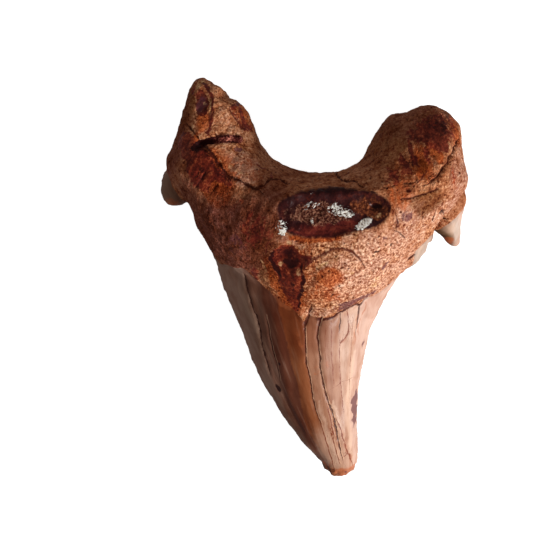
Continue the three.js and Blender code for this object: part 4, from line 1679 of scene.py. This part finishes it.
        worn = graph.laid(root, ((self.scar, self._scar_colour(), Lay.OVER),))
        return graph.laid(worn, (
            (self.enamelled, self._enamel_colour(), Lay.OVER),
            (self._frayed("mauve", 0.25, 0.8) * enamel.mauve_share, enamel.mauve, Lay.OVER),
            # Near-black stain, and along the worn oval's right rim partly painted shadow.
            (self.pitch * stain.pitch_and_shadow_share, stain.pitch, Lay.OVER),
            # Cream flecks in the bone, and two painted glints.
            (self._frayed("cream_and_glint", 0.25, 0.7, 0.8) * bone.cream_and_glint_share, cream_and_glint, Lay.OVER),
            (self.margin, enamel.crack, Lay.OVER),
            (self.vein_chip * enamel.chip_share, enamel.chip, Lay.OVER),
            (self.vein * enamel.line_share, line, Lay.OVER),
            (self.chip * enamel.chip_share, enamel.chip, Lay.OVER),
            (self.gouge, self._gouge_colour(), Lay.OVER),
            (self.crack * enamel.line_share, enamel.crack, Lay.OVER),
            (self.crusted, grains, Lay.OVER),
        ))

    def _scar_colour(self) -> Input:
        """The worn oval's floor: dark and glossy, with a rough plateau, orange on its right and red below."""
        graph, stain, crust = self.graph, self.stain, self.crust
        mottle = self.coarse * 0.5 + self.grain * 0.5
        red = graph.painted("scar_red") * stain.scar_red_share
        return graph.laid(graph.ramp(mottle, stain.scar), (
            (red, graph.ramp(mottle, stain.scar_red), Lay.OVER),
            (self._frayed("scar_orange", 0.3, 0.8), graph.ramp(self.grain, stain.scar_orange), Lay.OVER),
            (self.plateau * crust.plateau_share, graph.ramp(self.grain, crust.plateau), Lay.OVER),
        ))

    def _gouge_colour(self) -> Input:
        """The gouge: black where it starts, red-brown where its splinter stands up, with painted pink
        highlights on the splinter.
        """
        graph, stain = self.graph, self.stain
        raised = graph.painted("gouge_share").eased(*stain.splinter_start)
        splinter = graph.ramp(self.fine * 0.5 + self.fibres * 0.5, stain.splinter)
        return graph.laid(stain.pitch, ((raised, splinter, Lay.OVER),))

    def _enamel_colour(self) -> Input:
        """The enamel: long bands of colour down the crown, streaked and blotched."""
        graph, enamel = self.graph, self.enamel
        bands = enumerate(enamel.bands[1:])
        zones = tuple((graph.painted(f"zone_{number}"), colour, Lay.OVER) for number, colour in bands)
        return graph.laid(graph.laid(enamel.bands[0], zones), (
            (graph.painted("mist"), enamel.mist, Lay.OVER),
            (self.streak.eased(0.5, 0.72) * enamel.streak_share, enamel.pale, Lay.OVER),
            ((1 - self.streak).eased(0.5, 0.75) * enamel.shadow_share, enamel.tea, Lay.SOAKED),
            (self.blotch.eased(0.44, 0.66) * enamel.blotch_share, enamel.tea, Lay.SOAKED),
            (self.hair.eased(0.56, 0.75) * enamel.hair_share, enamel.tea, Lay.SOAKED),
            (graph.painted("tea"), enamel.tea, Lay.SOAKED),
            (graph.painted("moss"), enamel.moss, Lay.SOAKED),
            (graph.painted("pale"), enamel.pale, Lay.OVER),
            (self._frayed("amber", 0.1, 0.9, 0.6) * enamel.amber_share, enamel.amber, Lay.OVER),
        ))

    def _roughness(self) -> Value:
        """How rough the surface is."""
        bone = self.bone.rough - self.enamelled * (self.bone.rough - self.enamel.rough)
        stained = bone - self.glossy * (bone - self.stain.rough)
        uneven = (self.grain - MIDDLE) * 0.2
        return stained + self.crusted * (self.crust.rough - stained) + uneven

    def _bump(self) -> Socket:
        """The finest relief, in millimetres: grain and pores in the bone, cracks, and crust."""
        bone, enamel = self.bone, self.enamel
        softer = 1 - self.glossy * self.stain.smoothing
        grains = (self.grain - MIDDLE) * bone.grain_bump + (self.coarse - MIDDLE) * bone.coarse_bump
        uneven = grains + (self.fibres - MIDDLE) * bone.fibre_bump
        root = (uneven - self.pores * bone.pore_bump) * self.plain * softer
        streaks = (self.streak - MIDDLE) * enamel.streak_bump + (self.hair - MIDDLE) * enamel.hair_bump
        cracked = root + streaks * self.enamelled - self.crack * enamel.crack_bump
        height = cracked + self.crusted * self.fine * self.crust.bump
        node = self.graph.node("ShaderNodeBump", {}, {"Strength": 1.0, "Distance": MM, "Height": height})
        return node.outputs["Normal"]


@dataclass
class Studio:
    """The pale floor, the lights and the camera."""

    eye: tuple[float, float, float] = (2.1, 22.05, 84.2)
    target: tuple[float, float, float] = (-6.29, 2.82, 0.0)
    roll: float = math.radians(-0.73)
    lens: float = 39.65
    floor_radius: float = 1500.0
    key_direction: tuple[float, float] = (-32.0, 28.0)
    key_distance: float = 420.0
    key_size: float = 110.0
    key_power: float = 2.4
    floor_glow: float = 0.96
    wall_glow: float = 1.0
    wall_height: float = 1800.0
    fill: float = 0.27
    fill_tint: Colour = (1.0, 0.89, 0.88, 1.0)

    def build(self) -> None:
        """Makes the floor, the lights and the camera."""
        self._make_floor()
        self._make_wall()
        self._make_key()
        self._make_fill()
        self._make_camera()
        bpy.context.scene.view_settings.view_transform = "Standard"

    def _make_floor(self) -> None:
        """A round pale floor that glows, so that it stays nearly white, and lights nothing else."""
        bpy.ops.mesh.primitive_circle_add(vertices=96, radius=self.floor_radius * MM, fill_type="NGON")
        self._finish_stage("floor", (0.4, 0.4, 0.4, 1.0), self.floor_glow)

    def _make_wall(self) -> None:
        """A pale wall all round behind the floor's edge, for low views, that casts no shadow."""
        radius, height = self.floor_radius * MM, self.wall_height * MM
        bpy.ops.mesh.primitive_cylinder_add(
            vertices=96, radius=radius, depth=height, end_fill_type="NOTHING", location=(0.0, 0.0, height / 2)
        )
        wall = self._finish_stage("wall", (0.0, 0.0, 0.0, 1.0), self.wall_glow)
        wall.visible_shadow = False

    def _finish_stage(self, name: str, paint: Colour, glow: float) -> bpy.types.Object:
        """Gives the object just made its name and its glow, and keeps it out of the tooth's light.

        Args:
            name: The object's name, and its material's.
            paint: The colour that it shows under the lights, beside its glow.
            glow: How strongly it glows.

        Returns:
            The object.
        """
        made = bpy.context.object
        made.name = name
        graph = Graph(name)
        inputs = {
            "Base Color": paint,
            "Roughness": 0.9,
            "Specular IOR Level": 0.0,
            "Emission Color": (1.0, 1.0, 1.0, 1.0),
            "Emission Strength": glow,
        }
        shader = graph.node("ShaderNodeBsdfPrincipled", {}, inputs)
        graph.node("ShaderNodeOutputMaterial", {}, {"Surface": shader.outputs[0]})
        made.data.materials.append(graph.material)
        made.visible_glossy = False
        made.visible_diffuse = False
        return made

    def _make_key(self) -> None:
        """The key light, low on the right and a little towards the crown's tip."""
        azimuth, elevation = (math.radians(angle) for angle in self.key_direction)
        towards = Vector((
            math.cos(elevation) * math.cos(azimuth),
            math.cos(elevation) * math.sin(azimuth),
            math.sin(elevation),
        ))
        light = bpy.data.lights.new("key", "AREA")
        light.shape = "DISK"
        light.size = self.key_size * MM
        light.energy = self.key_power
        lamp = bpy.data.objects.new("key", light)
        lamp.location = towards * self.key_distance * MM
        lamp.rotation_euler = towards.to_track_quat("Z", "Y").to_euler()
        bpy.context.scene.collection.objects.link(lamp)

    def _make_fill(self) -> None:
        """An even weak light from all round."""
        world = bpy.data.worlds.new("studio")
        world.use_nodes = True
        background = world.node_tree.nodes["Background"]
        background.inputs["Color"].default_value = self.fill_tint
        background.inputs["Strength"].default_value = self.fill
        bpy.context.scene.world = world

    def _make_camera(self) -> None:
        """The camera, a hand's width above the tooth and leaning a little."""
        eye = Vector(self.eye)
        back = (eye - Vector(self.target)).normalized()
        right = Vector((0.0, 1.0, 0.0)).cross(back).normalized()
        turned = Matrix.Rotation(self.roll, 3, back) @ right
        up = back.cross(turned)
        data = bpy.data.cameras.new("camera")
        data.lens = self.lens
        data.clip_start = 1 * MM
        camera = bpy.data.objects.new("camera", data)
        turn = Matrix((turned, up, back)).transposed().to_4x4()
        camera.matrix_world = Matrix.Translation(eye * MM) @ turn
        bpy.context.scene.collection.objects.link(camera)
        bpy.context.scene.camera = camera


def main() -> None:
    """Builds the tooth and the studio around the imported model."""
    logging.basicConfig(level=logging.INFO, format="%(name)s: %(message)s")
    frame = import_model()
    skin = ToothSkin()
    tooth = skin.build(frame["nodes"][skin.node])
    tooth.data.materials.clear()
    tooth.data.materials.append(ToothMaterial().build())
    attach(tooth, "root")
    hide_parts(skin.node)
    LOG.info("%s: %d points, %d faces", tooth.name, len(tooth.data.vertices), len(tooth.data.polygons))
    Studio().build()


if __name__ == "__main__":
    main()
